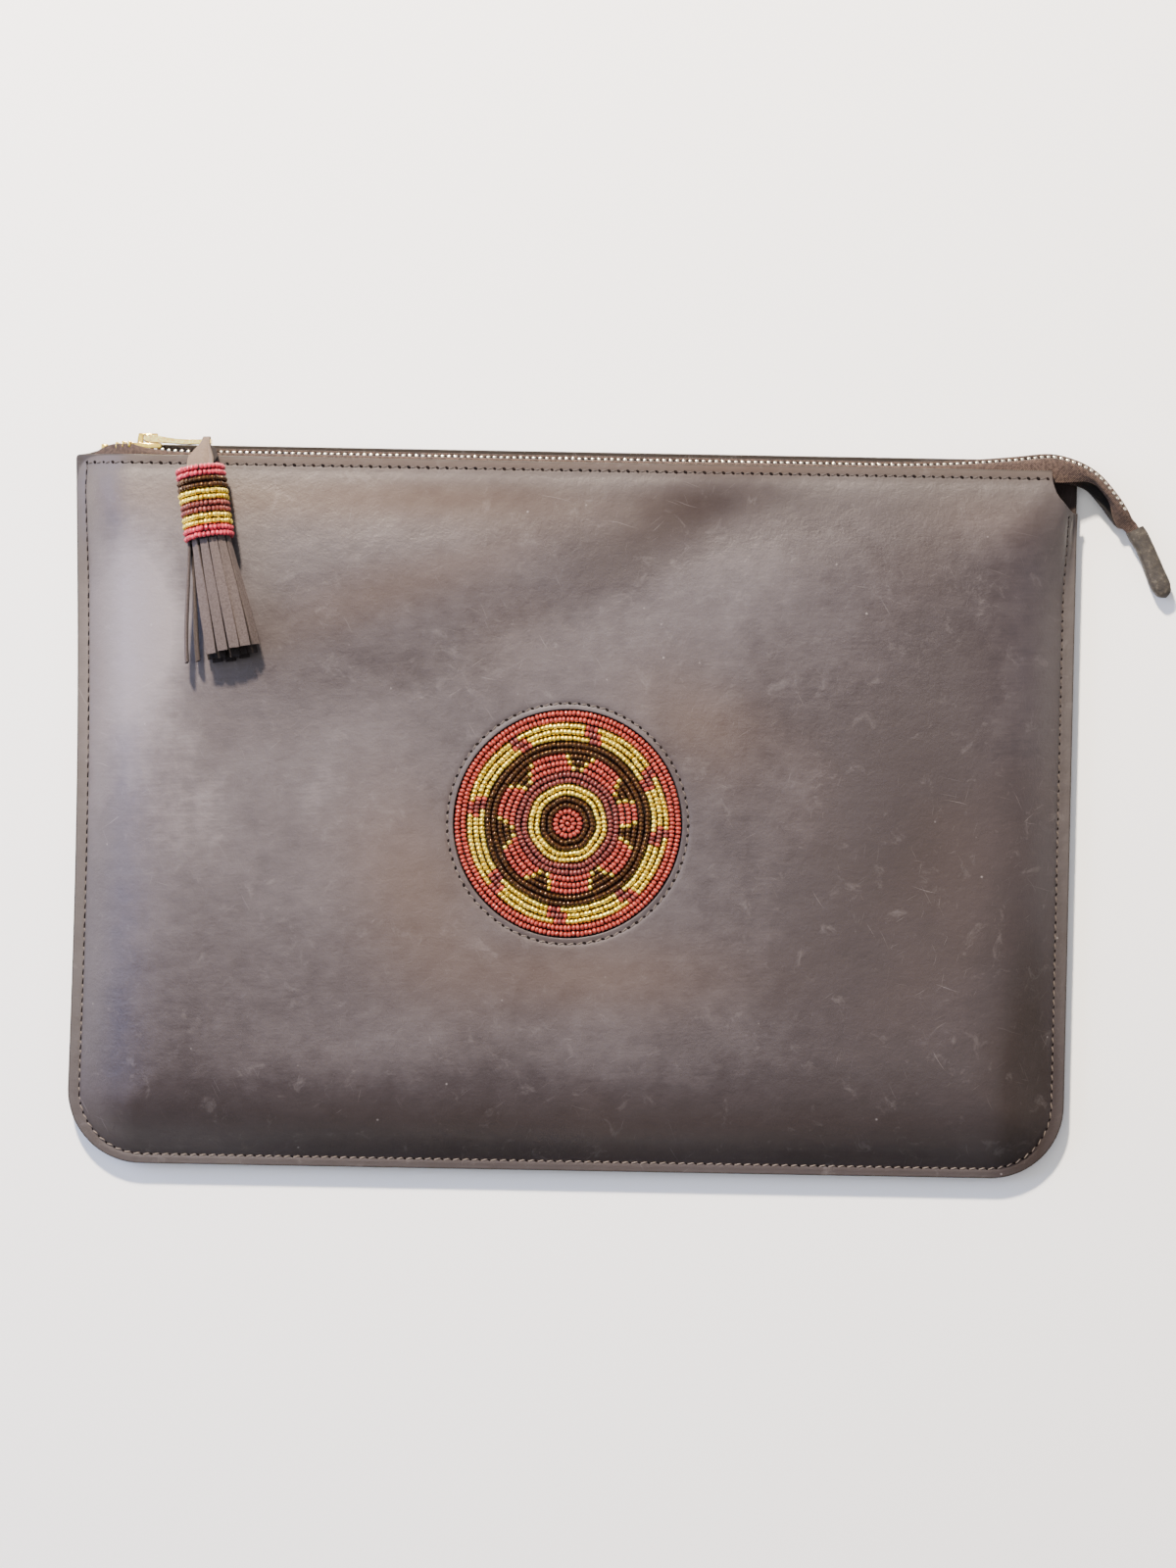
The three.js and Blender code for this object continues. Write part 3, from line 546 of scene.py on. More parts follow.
bead = dict(across=2.07, full=0.95, along=1.41, rings=18, base=19.0, jitter=0.05, tilt=5,
            wander=0.16, wanders=7, wanderRings=(2, 17), vary=(0.95, 1.03), blunt=0.9)
chart = [((0, 2), "red"), ((3, 4), "brown"), ((5, 6), "gold"), ((7, 8), "plum"), ((9, 11), "red"),
         ((12, 13), "brown"), ((14, 16), "gold"), ((17, 18), "red")]
# wedges that point to the middle: ring, beads of gold each way, beads of brown each way
wedges = dict(angles=[81, 30, -8, -59, -115, -171, 136], rings={9: (1.6, 0.6), 10: (2.6, 1.6), 11: (3.7, 2.7)})
# breaks in the outer gold band: ring, shift in beads, beads each way, beads of plum each way
breaks = dict(angles=[75, 30, -7, -50, -96, -140, 170, 122],
              rings={14: (-0.8, 1.4, 0.9), 15: (0, 2.3, 1.3), 16: (0.8, 1.4, 0.6)})
collar = dict(radius=7.525, perRow=33,
              rows=["red", "red", "brown", "brown", "gold", "gold", "plum", "plum", "gold", "gold", "red", "red"])
# rounder glass beads, and tight ones whose shine runs on from bead to bead: shoulder and length
beadForms = dict(red=(0.7, 1.0), plum=(0.7, 1.0), gold=(0.35, 1.06), brown=(0.35, 1.06))


def beadColour(ring, degrees, pitch):
    colour = next(name for (low, high), name in chart if low <= ring <= high)
    if ring in wedges["rings"]:
        off = min(abs((degrees - angle + 180) % 360 - 180) for angle in wedges["angles"]) / pitch
        gold, brown = wedges["rings"][ring]
        colour = "brown" if off < brown else "gold" if off < gold else colour
    if ring in breaks["rings"]:
        shift, reach, middle = breaks["rings"][ring]
        offs = [(degrees - angle + 180) % 360 - 180 - shift * pitch for angle in breaks["angles"]]
        off = min(abs(x) for x in offs) / pitch
        colour = "plum" if off < middle else "red" if off < reach else colour
    return colour


def beadShape(shoulder):  # a seed bead: a ball drawn out into a barrel, its hole along x
    deselect()
    bpy.ops.mesh.primitive_uv_sphere_add(segments=12, ring_count=7, radius=0.5 * mm, rotation=(0, math.pi / 2, 0))
    bpy.ops.object.transform_apply(rotation=True)
    shape = shapeOnce(bpy.context.object)
    points = shape["points"]
    points[:, 0] = np.sign(points[:, 0]) * 0.5 * np.abs(points[:, 0] * 2) ** bead["blunt"]
    girth = np.hypot(points[:, 1], points[:, 2])
    fuller = np.where(girth > 1e-6, 0.5 * (girth * 2) ** shoulder / np.maximum(girth, 1e-6), 1)
    points[:, 1:] *= fuller[:, None]
    return shape


def strungBeads(name, colour, origins, along, up, material, body, node):
    turns = turnsFrom(along, up + dice.normal(0, math.radians(bead["tilt"]), up.shape))
    shoulder, length = beadForms[colour]
    sizes = np.array([bead["along"] * length, bead["across"] * bead["full"], bead["across"] * bead["full"]])
    sizes = sizes * dice.uniform(*bead["vary"], (len(origins), 1, 3))
    piece = copiesOf(beadShape(shoulder), name, origins + dice.normal(0, bead["jitter"], origins.shape), turns, sizes)
    smoothFaces(piece, 180)
    dress(piece, material, body, [node])
    return piece


def medallionBeads():
    first, last = bead["wanderRings"]
    strung = {}
    for ring in range(bead["rings"] + 1):
        radius = ring * bead["across"]
        count = max(int(round(2 * math.pi * radius / bead["along"])), 1)
        start = dice.uniform(0, 360)
        for k in range(count):
            degrees = start + 360 * k / count
            a = math.radians(degrees)
            wander = bead["wander"] * math.sin(bead["wanders"] * a + 0.5 * ring) if first < ring < last else 0
            place = [disc["x"] + (radius + wander) * math.cos(a), disc["y"] + (radius + wander) * math.sin(a),
                     bead["base"] + bead["across"] / 2]
            colour = beadColour(ring, degrees, 360 / count)
            strung.setdefault(colour, []).append((place, [-math.sin(a), math.cos(a), 0], [0, 0, 1]))
    return strung


pull = dict(hinge=(-145.2, 126, 9.65), head=(19.2, -10, 16.4), lean=9.3, tilt=7)
tasselTurn = np.array(Euler((math.radians(-pull["tilt"]), 0, 0)).to_matrix())
tasselTurn = np.array(Euler((0, 0, math.radians(pull["lean"]))).to_matrix()) @ tasselTurn
headTop = np.array(pull["hinge"]) + np.array(pull["head"])


def fromTassel(points):  # from the tassel's own axes, its axis down -y, to the frame
    return np.asarray(points) @ tasselTurn.T + headTop


def collarBeads():
    strung = {}
    for row, colour in enumerate(collar["rows"]):
        start = dice.uniform(0, 2 * math.pi)
        for k in range(collar["perRow"]):
            a = start + 2 * math.pi * k / collar["perRow"]
            out = np.array([math.sin(a), 0, math.cos(a)])
            place = out * collar["radius"] + np.array([0, -(row + 0.5) * bead["across"], 0])
            along = tasselTurn @ np.array([math.cos(a), 0, -math.sin(a)])
            strung.setdefault(colour, []).append((fromTassel(place), along, tasselTurn @ out))
    return strung


# tassel: skirt of cut strips, rolled head and strap

# strips of the skirt: x and z where they leave the head, x and z and reach of the tip, turn of the tip, tone (pale
# flesh side in front; low for the strips behind, for their dark grain side and painted shade)
stripRows = [
    (-6.3, 1, -14.6, -5.5, 63.8, 75, 0.9), (-5.8, -1.5, -10.9, -7.5, 63.6, 70, 0.8),  # two that stray to the left
    (-4.8, 4.2, -5, -2.6, 62.4, 14, 1), (-1.7, 5.9, -0.9, -1.6, 62, 5, 0.95), (1.3, 6, 3.2, -1.5, 61.6, -3, 1),
    (4, 4.9, 6.9, -2.2, 61.4, -10, 0.95), (6, 2.2, 10.6, -4.5, 61.2, -55, 0.9), (-5, -2.5, -5.4, -8.5, 63.4, 20, 0.2),
    (-3.6, -4.5, -3.8, -9.5, 64.6, 0, 0.15), (0, -6, 0.6, -10.4, 64.8, 0, 0.15), (4, -4.5, 5.4, -9.8, 64.4, 0, 0.15),
    (6.2, -1.5, 8.6, -8, 63.4, -20, 0.2), (-2.5, 1.5, -2.2, -5.5, 64, 0, 0.1), (1.5, 1.5, 2.6, -5.5, 64.2, 0, 0.1),
    (0, -2, 0.6, -8, 64.4, 0, 0.1), (3.2, -1, 5, -6.5, 63.6, 0, 0.1), (-3.2, -1.4, -3.6, -7, 63.4, 0, 0.1),
]
skirt = dict(root=20, leather=1, rootWidth=2.6, width=3.5, steps=15, edgeBevel=0.14, droop=1.6,
             headRadius=6.2, headLength=25, headBevel=0.5, headTone=0.05)
strapRows = [  # y, z from the hinge, width
    (-12, 15, 8.4), (-8.9, 13.7, 8.4), (-5.9, 10, 7.2), (-4.2, 6.9, 5.4), (-2.8, 3.95, 3.6), (-2.2, 2.25, 2.6),
    (-1.8, 1.05, 2.4), (-0.6, 0.6, 2.4), (0.55, 1.05, 2.4), (0.7, 2.25, 2.4), (0.2, 4.55, 2.4), (-1.6, 8.15, 2.9),
    (-3.4, 11.2, 4.6), (-5.4, 13.4, 7), (-7.4, 15.3, 8.5), (-11.4, 17.1, 8.6),
]
strapPlace = dict(eyeX=20, headX=19.2, narrow=2.4, wide=8.6, leather=0.8, dip=0.9, lip=1.1, slip=1.5, edgeBevel=0.15,
                  dipFrom=(0.1, 0.36), lipFrom=(0.34, 0.5), along=46, across=13, front=(25, 32, 40, 45),
                  behind=(3, 9, 13, 20), eyeStep=21, tonesAndShade=(0.12, 1.35))


def stripPlaces(rootX, rootZ, tipX, tipZ, reach, turn):
    share = np.linspace(0, 1, skirt["steps"])
    ease = easeBetween(-0.2, 1.2, share)
    middle = np.stack([mix(rootX, tipX, ease), -mix(skirt["root"], reach, share),
                       mix(rootZ, tipZ, share ** skirt["droop"])], axis=1)
    first, last = math.atan2(rootX, rootZ), math.radians(-turn)
    angle = mix(first, last, easeBetween(0, 0.7, share)) if abs(first) < 2 else np.full(len(share), last)
    across = np.stack([np.cos(angle), 0 * angle, -np.sin(angle)], axis=1)
    half = mix(skirt["rootWidth"], skirt["width"], easeBetween(0, 0.6, share))[:, None] / 2
    return np.stack([fromTassel(middle + across * half * k) for k in (-1, -0.5, 0, 0.5, 1)])


def joined(pieces, name):
    deselect()
    for piece in pieces:
        piece.select_set(True)
    bpy.context.view_layer.objects.active = pieces[0]
    bpy.ops.object.join()
    pieces[0].name = pieces[0].data.name = name
    return pieces[0]


def leatherStrip(name, grid, thickness, tone):
    strip = wrapGrid(name, grid)
    face = len(strip.data.vertices)
    applied(strip, "SOLIDIFY", thickness=thickness * mm, offset=-1, use_even_offset=True)
    pointValue(strip, "fleshSide", (np.arange(len(strip.data.vertices)) < face) * tone)
    bevelled(strip, skirt["edgeBevel"], 1)
    smoothFaces(strip)
    return strip


def tasselSkirt():
    strips = []
    for *row, tone in stripRows:
        strips.append(leatherStrip("strip", stripPlaces(*row), skirt["leather"], tone))
    deselect()
    bpy.ops.mesh.primitive_cylinder_add(vertices=32, radius=skirt["headRadius"] * mm, depth=skirt["headLength"] * mm,
                                        rotation=(math.pi / 2, 0, 0))
    head = bpy.context.object
    bpy.ops.object.transform_apply(rotation=True)
    headAt = fromTassel(places(head) - np.array([0, skirt["headLength"] / 2, 0]))
    moveTo(head, headAt)
    pointValue(head, "fleshSide", np.full(len(head.data.vertices), skirt["headTone"]))
    bevelled(head, skirt["headBevel"], 2)
    smoothFaces(head)
    return joined(strips + [head], "tasselSkirt")


def tasselStrap():
    rows = throughRows(strapRows, strapPlace["along"])
    step = np.arange(len(rows))
    turned = (rows[:, 2] - strapPlace["narrow"]) / (strapPlace["wide"] - strapPlace["narrow"])
    middle = mix(strapPlace["eyeX"], strapPlace["headX"], turned)
    hinge = np.array(pull["hinge"])
    front, behind = (easeBetween(rise, full, step) * (1 - easeBetween(fall, gone, step))
                     for rise, full, fall, gone in (strapPlace["front"], strapPlace["behind"]))
    middle = middle + strapPlace["slip"] * behind
    shape = []
    for k in np.linspace(-0.5, 0.5, strapPlace["across"]):  # the right edge of the front layer dips and turns up
        dip = strapPlace["dip"] * easeBetween(*strapPlace["dipFrom"], k)
        curl = strapPlace["lip"] * easeBetween(*strapPlace["lipFrom"], k) - dip
        shape.append(np.stack([middle + k * rows[:, 2], rows[:, 0], rows[:, 1] + front * curl], axis=1) + hinge)
    strap = wrapGrid("tasselStrap", np.array(shape))
    applied(strap, "SOLIDIFY", thickness=strapPlace["leather"] * mm, offset=0, use_even_offset=True)
    onBothFaces = np.tile(step, 2 * strapPlace["across"])
    # painted shade: the strap's layer behind the eye is dark, and its front layer is rubbed paler
    pointValue(strap, "fleshSide", np.where(onBothFaces < strapPlace["eyeStep"], *strapPlace["tonesAndShade"]))
    bevelled(strap, strapPlace["edgeBevel"], 2)
    smoothFaces(strap)
    return strap


# zip: tapes, teeth, slider and tail

zipSettings = dict(width=8.5, cloth=0.8, ridge=121.3, pitch=2.2, chainStart=-144.5, sewnGap=0.5, edgeDrop=0.2,
                   clothHalf=0.5, sliderX=-145.2, sliderLength=9.5, sliderLift=0.5, sliderReach=0.6, foldBefore=2.5,
                   foldAfter=3, backIn=1, alongSteps=220, acrossSteps=13, bend=1.6, curled=2, tailEnd=7,
                   toothBevel=0.36, tooth=[((1.3, 1.1, 1.6), (0, 0.1, 2.5)), ((0.75, 0.9, 2), (0, 0, 0.9))])
tailRows = [  # x, y, z, fold, run, edge, width
    (161.7, 124.9, 9.5, 1, 4.2, 3.9, 8.2), (166.3, 123.9, 9.2, 1, 4.1, 3.3, 7.5),
    (170.5, 122.4, 8.8, 1, 3.9, 2.6, 6.6), (174.5, 120.3, 8.2, 1, 3.8, 2.1, 5.8),
    (178, 117.5, 7.5, 1, 3.8, 1.7, 5.4), (182.6, 112.4, 6.3, 1, 3.6, 1.2, 5.4),
    (185.6, 108.4, 5.4, 1, 3.5, 1, 5.3), (188, 105.3, 4.4, 0.4, 1.6, 0.9, 5),
    (190.8, 101.8, 3.6, 0, 0.85, 0.85, 3.6), (200.4, 83.7, 3.6, 0, 0.85, 0.85, 2.2),
]
ridgeRise = [(-170, 0), (110, 0), (130, 0.9), (148, 2.5), (157, 3.6)]  # how the teeth climb toward the tail
# each tape at the teeth: inward when flat, inward when folded, share of its stand-off
tapeBend = {1: [(-0.6, 0.45, 0.6), (-0.1, 0.45, 0.84), (0.5, 0.8, 0.97), (1.6, 1.8, 1)],
            -1: [(-0.6, -1, 0.1), (-0.1, -1.1, 0.4), (0.5, -0.5, 0.88), (1.6, 1.2, 1)]}
mouthPlaces = [-163.5, -161, -157, -152.5, -150, -147, zipSettings["chainStart"], -140, -133, -100, -60, -20, 20, 60,
               90, 110, 130, 148, 157]
# how much of the front tape's width shows along the tail, where it curls up
tailCurl = [(161.7, 1), (168, 0.95), (171, 0.75), (174.5, 0.35), (178, 0.06), (182.6, 0.12), (185.6, 0.7), (188, 1)]
# painted shade inside the tail's curl
foldShade = [(-170, 0), (168, 0), (173, 0.7), (183, 0.7), (187, 0), (210, 0)]  # how dark it is inside the curl
# how far the tapes stand out where the zip is open, and the teeth past the middle of the fold
openOut = [(-166, -1.6), (-162.5, -0.9), (-160.5, 1), (-157, 2), (-152, 2.1), (-148, 1.2), (-144, 0.3), (-140, 0),
           (210, 0)]
teethOut = [(-170, 0.5), (0, 0.2), (110, 0.15), (130, 0.1), (157, 0), (210, 0)]


def mouthRow(x):  # a row like those of the tail, where the tapes are sewn in the mouth
    half = (panel["seamGap"] + tableCurve(panel["mouth"], x)) / 2
    run = half - zipSettings["sewnGap"] - zipSettings["clothHalf"]
    start = zipSettings["sliderX"] - zipSettings["sliderLength"] / 2
    fold = easeBetween(start - zipSettings["foldBefore"], start + zipSettings["foldAfter"], x)
    underSlider = abs(x - zipSettings["sliderX"]) < zipSettings["sliderLength"] * zipSettings["sliderReach"]
    lift = zipSettings["sliderLift"] if underSlider else 0
    z = panel["edgeLift"] + panel["leather"] + half
    ridge = zipSettings["ridge"] + lift + straightCurve(ridgeRise, x)
    return (x, ridge, z, fold, run, run - zipSettings["edgeDrop"], zipSettings["width"])


zipRows = np.array([mouthRow(x) for x in mouthPlaces] + tailRows)
zipAhead = np.gradient(zipRows[:, :2], axis=0)
zipInward = np.stack([zipAhead[:, 1], -zipAhead[:, 0]], axis=1)
zipInward = zipInward / np.linalg.norm(zipInward, axis=1, keepdims=True)


def zipTape(name, side):
    sections = []
    for (x, y, z, fold, run, edge, width), inward in zip(zipRows, zipInward):
        line = []
        for flat, bent, share in tapeBend[side]:
            out = straightCurve(openOut, x) + fold * straightCurve(teethOut, x)
            line.append((mix(flat, bent, fold) - out, run * mix(1, share, fold)))
        if side > 0 and x > tailCurl[0][0]:
            width = mix(zipSettings["curled"], width, tableCurve(tailCurl, x))
        line += [(mix(zipSettings["bend"], width, 0.5), mix(run, edge, 0.5)), (width, edge)]
        sections.append([(x + inward[0] * a, y + inward[1] * a, z + side * u) for a, u in line])
    along = throughRows(sections, zipSettings["alongSteps"])
    last = zipSettings["acrossSteps"] - 1
    across = np.stack([throughRows(row, last + 1) for row in along])
    grid = across.transpose(1, 0, 2)[::side]
    column = np.repeat(np.arange(last + 1)[::side], len(along))
    curled = straightCurve(foldShade, grid[..., 0].ravel())
    shade = curled * (column > 3) if side < 0 else -0.6 * curled * (column == last)
    tape = wrapGrid(name, grid)
    pointValue(tape, "foldShade", shade)  # dark inside the curl, pale on its frayed edge
    applied(tape, "SOLIDIFY", thickness=zipSettings["cloth"] * mm, offset=0, use_even_offset=True)
    smoothFaces(tape, 60)
    return tape


def roundedBlocks(blocks):  # small rounded blocks joined in one shape: size, then place
    parts = []
    for size, place in blocks:
        deselect()
        bpy.ops.mesh.primitive_cube_add(size=1 * mm, location=Vector(place) * mm)
        block = bpy.context.object
        block.scale = size
        bpy.ops.object.transform_apply(location=True, scale=True)
        applied(block, "BEVEL", width=zipSettings["toothBevel"] * mm, segments=2, limit_method="NONE")
        parts.append(block)
    return shapeOnce(joined(parts, "blocks"))


def zipTeeth():
    last = len(mouthPlaces) + zipSettings["tailEnd"]
    rows = zipRows[mouthPlaces.index(zipSettings["chainStart"]):last, :3]
    line = alongPath(throughRows(rows, 400), zipSettings["pitch"] / 2)
    ahead = np.gradient(line, axis=0)
    ahead[:, 2] = 0
    out = np.stack([-ahead[:, 1], ahead[:, 0], 0 * ahead[:, 0]], axis=1)
    out = out / np.linalg.norm(out, axis=1, keepdims=True)
    side = np.where(np.arange(len(line)) % 2 == 0, 1.0, -1.0)
    reach = straightCurve(teethOut, line[:, 0]) - np.where(side > 0, 0, zipSettings["backIn"])
    origins = line + out * reach[:, None]
    turns = turnsFrom(ahead, np.stack([0 * side, 0 * side, side], axis=1))
    piece = copiesOf(roundedBlocks(zipSettings["tooth"]), "zipTeeth", origins, turns, np.ones((len(line), 1, 3)))
    smoothFaces(piece, 40)
    return piece


openTeeth = dict(x=-158.2, pitch=2.2, ahead=0.5, out=[1.2, 2.2, 2.6, 2.6], sunk=0.3, size=(1.05, 2.4, 1.7))
stopForm = dict(edgeBevel=0.4, drop=0.9)


def openTooth(name, side):
    origins = []
    for k, out in enumerate(openTeeth["out"]):
        x = openTeeth["x"] + k * openTeeth["pitch"]
        row = mouthRow(x)
        z = row[2] + side * (row[4] - openTeeth["sunk"])
        origins.append((x + openTeeth["ahead"], zipSettings["ridge"] + out, z))
    turns = np.tile(np.eye(3), (len(origins), 1, 1))
    tooth = roundedBlocks([(openTeeth["size"], (0, 0, 0))])
    piece = copiesOf(tooth, name, origins, turns, np.ones((len(origins), 1, 3)))
    smoothFaces(piece, 40)
    return piece


def roundedStop(node, name):  # the CAD form, set a little lower and with its edges rounded over
    piece = nodeCopy(node, name)
    moveTo(piece, places(piece) - np.array([0, stopForm["drop"], 0]))
    bevelled(piece, stopForm["edgeBevel"], degrees=35)
    smoothFaces(piece, 40)
    return piece


# the bridge's near leg is a solid hump: x from the hinge before and after, at its foot and at its top
bridgeHump = dict(outer=(-3.2, -3.8, -3.3), inner=(-2.2, -1.6, -1.6), thin=1.0, edgeBevel=0.4)


def humpedSlider():
    piece = nodeCopy("slider_body", "sliderBody")
    at = places(piece)
    x, y, z = (at - np.array(pull["hinge"])).T
    for before, foot, top in (bridgeHump["outer"], bridgeHump["inner"]):
        leg = (np.abs(x - before) < 0.05) & (np.abs(z) < bridgeHump["thin"])
        at[leg, 0] = pull["hinge"][0] + np.where(y[leg] > 0.5, top, foot)
    moveTo(piece, at)
    bevelled(piece, bridgeHump["edgeBevel"], degrees=35)
    smoothFaces(piece, 40)
    return piece


# the tab from its hinge on: middle of its side view, half its thickness, and the round knuckles of its fork
tabCurve = dict(middle=[(-1, 0), (2, 0), (5, -0.2), (9, -0.6), (12, -0.85), (15.5, -0.75), (18, -0.65), (22, -0.5)],
                half=[(-1, 1.2), (0.5, 1.25), (2.5, 1.2), (5, 0.95), (9, 0.8), (14, 0.78), (16, 0.72), (22, 0.7)],
                knuckle=1.42, knuckleAt=1.98, knuckleWide=1.36, knuckleBevel=0.4, edgeBevel=0.55,
                solidHalf=0.8, bar=(1.25, 1))


def curvedTab():
    piece = nodeCopy("pull_tab", "pullTab", False)
    bpy.ops.object.mode_set(mode="EDIT")
    bpy.ops.mesh.select_all(action="SELECT")
    bpy.ops.mesh.subdivide(number_cuts=5)
    bpy.ops.object.mode_set(mode="OBJECT")
    at = places(piece)
    x, share = at[:, 0] - pull["hinge"][0], (at[:, 1] - pull["hinge"][1]) / tabCurve["solidHalf"]
    curved = pull["hinge"][1] + tableCurve(tabCurve["middle"], x) + share * tableCurve(tabCurve["half"], x)
    barHalf, barEnd = tabCurve["bar"]
    underBridge = (np.abs(at[:, 2] - pull["hinge"][2]) < barHalf) & (x < barEnd)
    at[:, 1] = np.where(underBridge, at[:, 1], curved)
    moveTo(piece, at)
    bevelled(piece, tabCurve["edgeBevel"])
    parts = [piece]
    for side in (1, -1):
        place = Vector(pull["hinge"]) + Vector((0, 0, side * tabCurve["knuckleAt"]))
        deselect()
        bpy.ops.mesh.primitive_cylinder_add(vertices=28, radius=tabCurve["knuckle"] * mm,
                                            depth=tabCurve["knuckleWide"] * mm, location=place * mm)
        parts.append(bpy.context.object)
        bpy.ops.object.transform_apply(location=True)
        bevelled(parts[-1], tabCurve["knuckleBevel"])
    piece = joined(parts, "pullTab")
    smoothFaces(piece, 60)
    return piece


# the tail tab: where it starts, its slant, and half its width from the start to the tip
tongue = dict(start=(189.9, 101.6, 3.6), slant=25.8, length=25.6, half=3.3, high=2.9, around=25, boxy=(0.6, 0.5),
              bow=0.5, waver=(0.2, 7), tipSteps=[0.93, 0.955, 0.975, 0.99, 1],
              girth=[(0, 0.92), (0.08, 0.98), (0.3, 0.92), (0.6, 0.97), (0.78, 1.02), (0.9, 0.86), (0.97, 0.5),
                     (1, 0)])


def tailTongue():
    share = np.concatenate([np.linspace(0, 0.9, 19), tongue["tipSteps"]])
    girth = tableCurve(tongue["girth"], share)
    around = np.linspace(0, 2 * np.pi, tongue["around"])
    boxy = np.stack([np.sign(wave) * np.abs(wave) ** power
                     for wave, power in zip((np.cos(around), np.sin(around)), tongue["boxy"])], axis=1)
    slant = math.radians(tongue["slant"])
    ahead, aside = np.array([math.sin(slant), -math.cos(slant), 0]), np.array([math.cos(slant), math.sin(slant), 0])
    waver, waves = tongue["waver"]
    sway = tongue["bow"] * np.sin(np.pi * share) + waver * np.sin(waves * share)
    rows = []
    for s, g, w in zip(share, girth, sway):
        middle = np.array(tongue["start"]) + ahead * s * tongue["length"] + aside * w
        thick = tongue["high"] * max(g, 0) ** 0.5
        rows.append(middle + aside * boxy[:, :1] * g * tongue["half"] + np.array([0, 0, 1]) * boxy[:, 1:] * thick)
    rows.insert(0, np.tile(np.array(tongue["start"]), (len(around), 1)))
    piece = wrapGrid("tailTab", np.array(rows))
    weld(piece, outward=True)
    smoothFaces(piece, 60)
    return piece


# materials

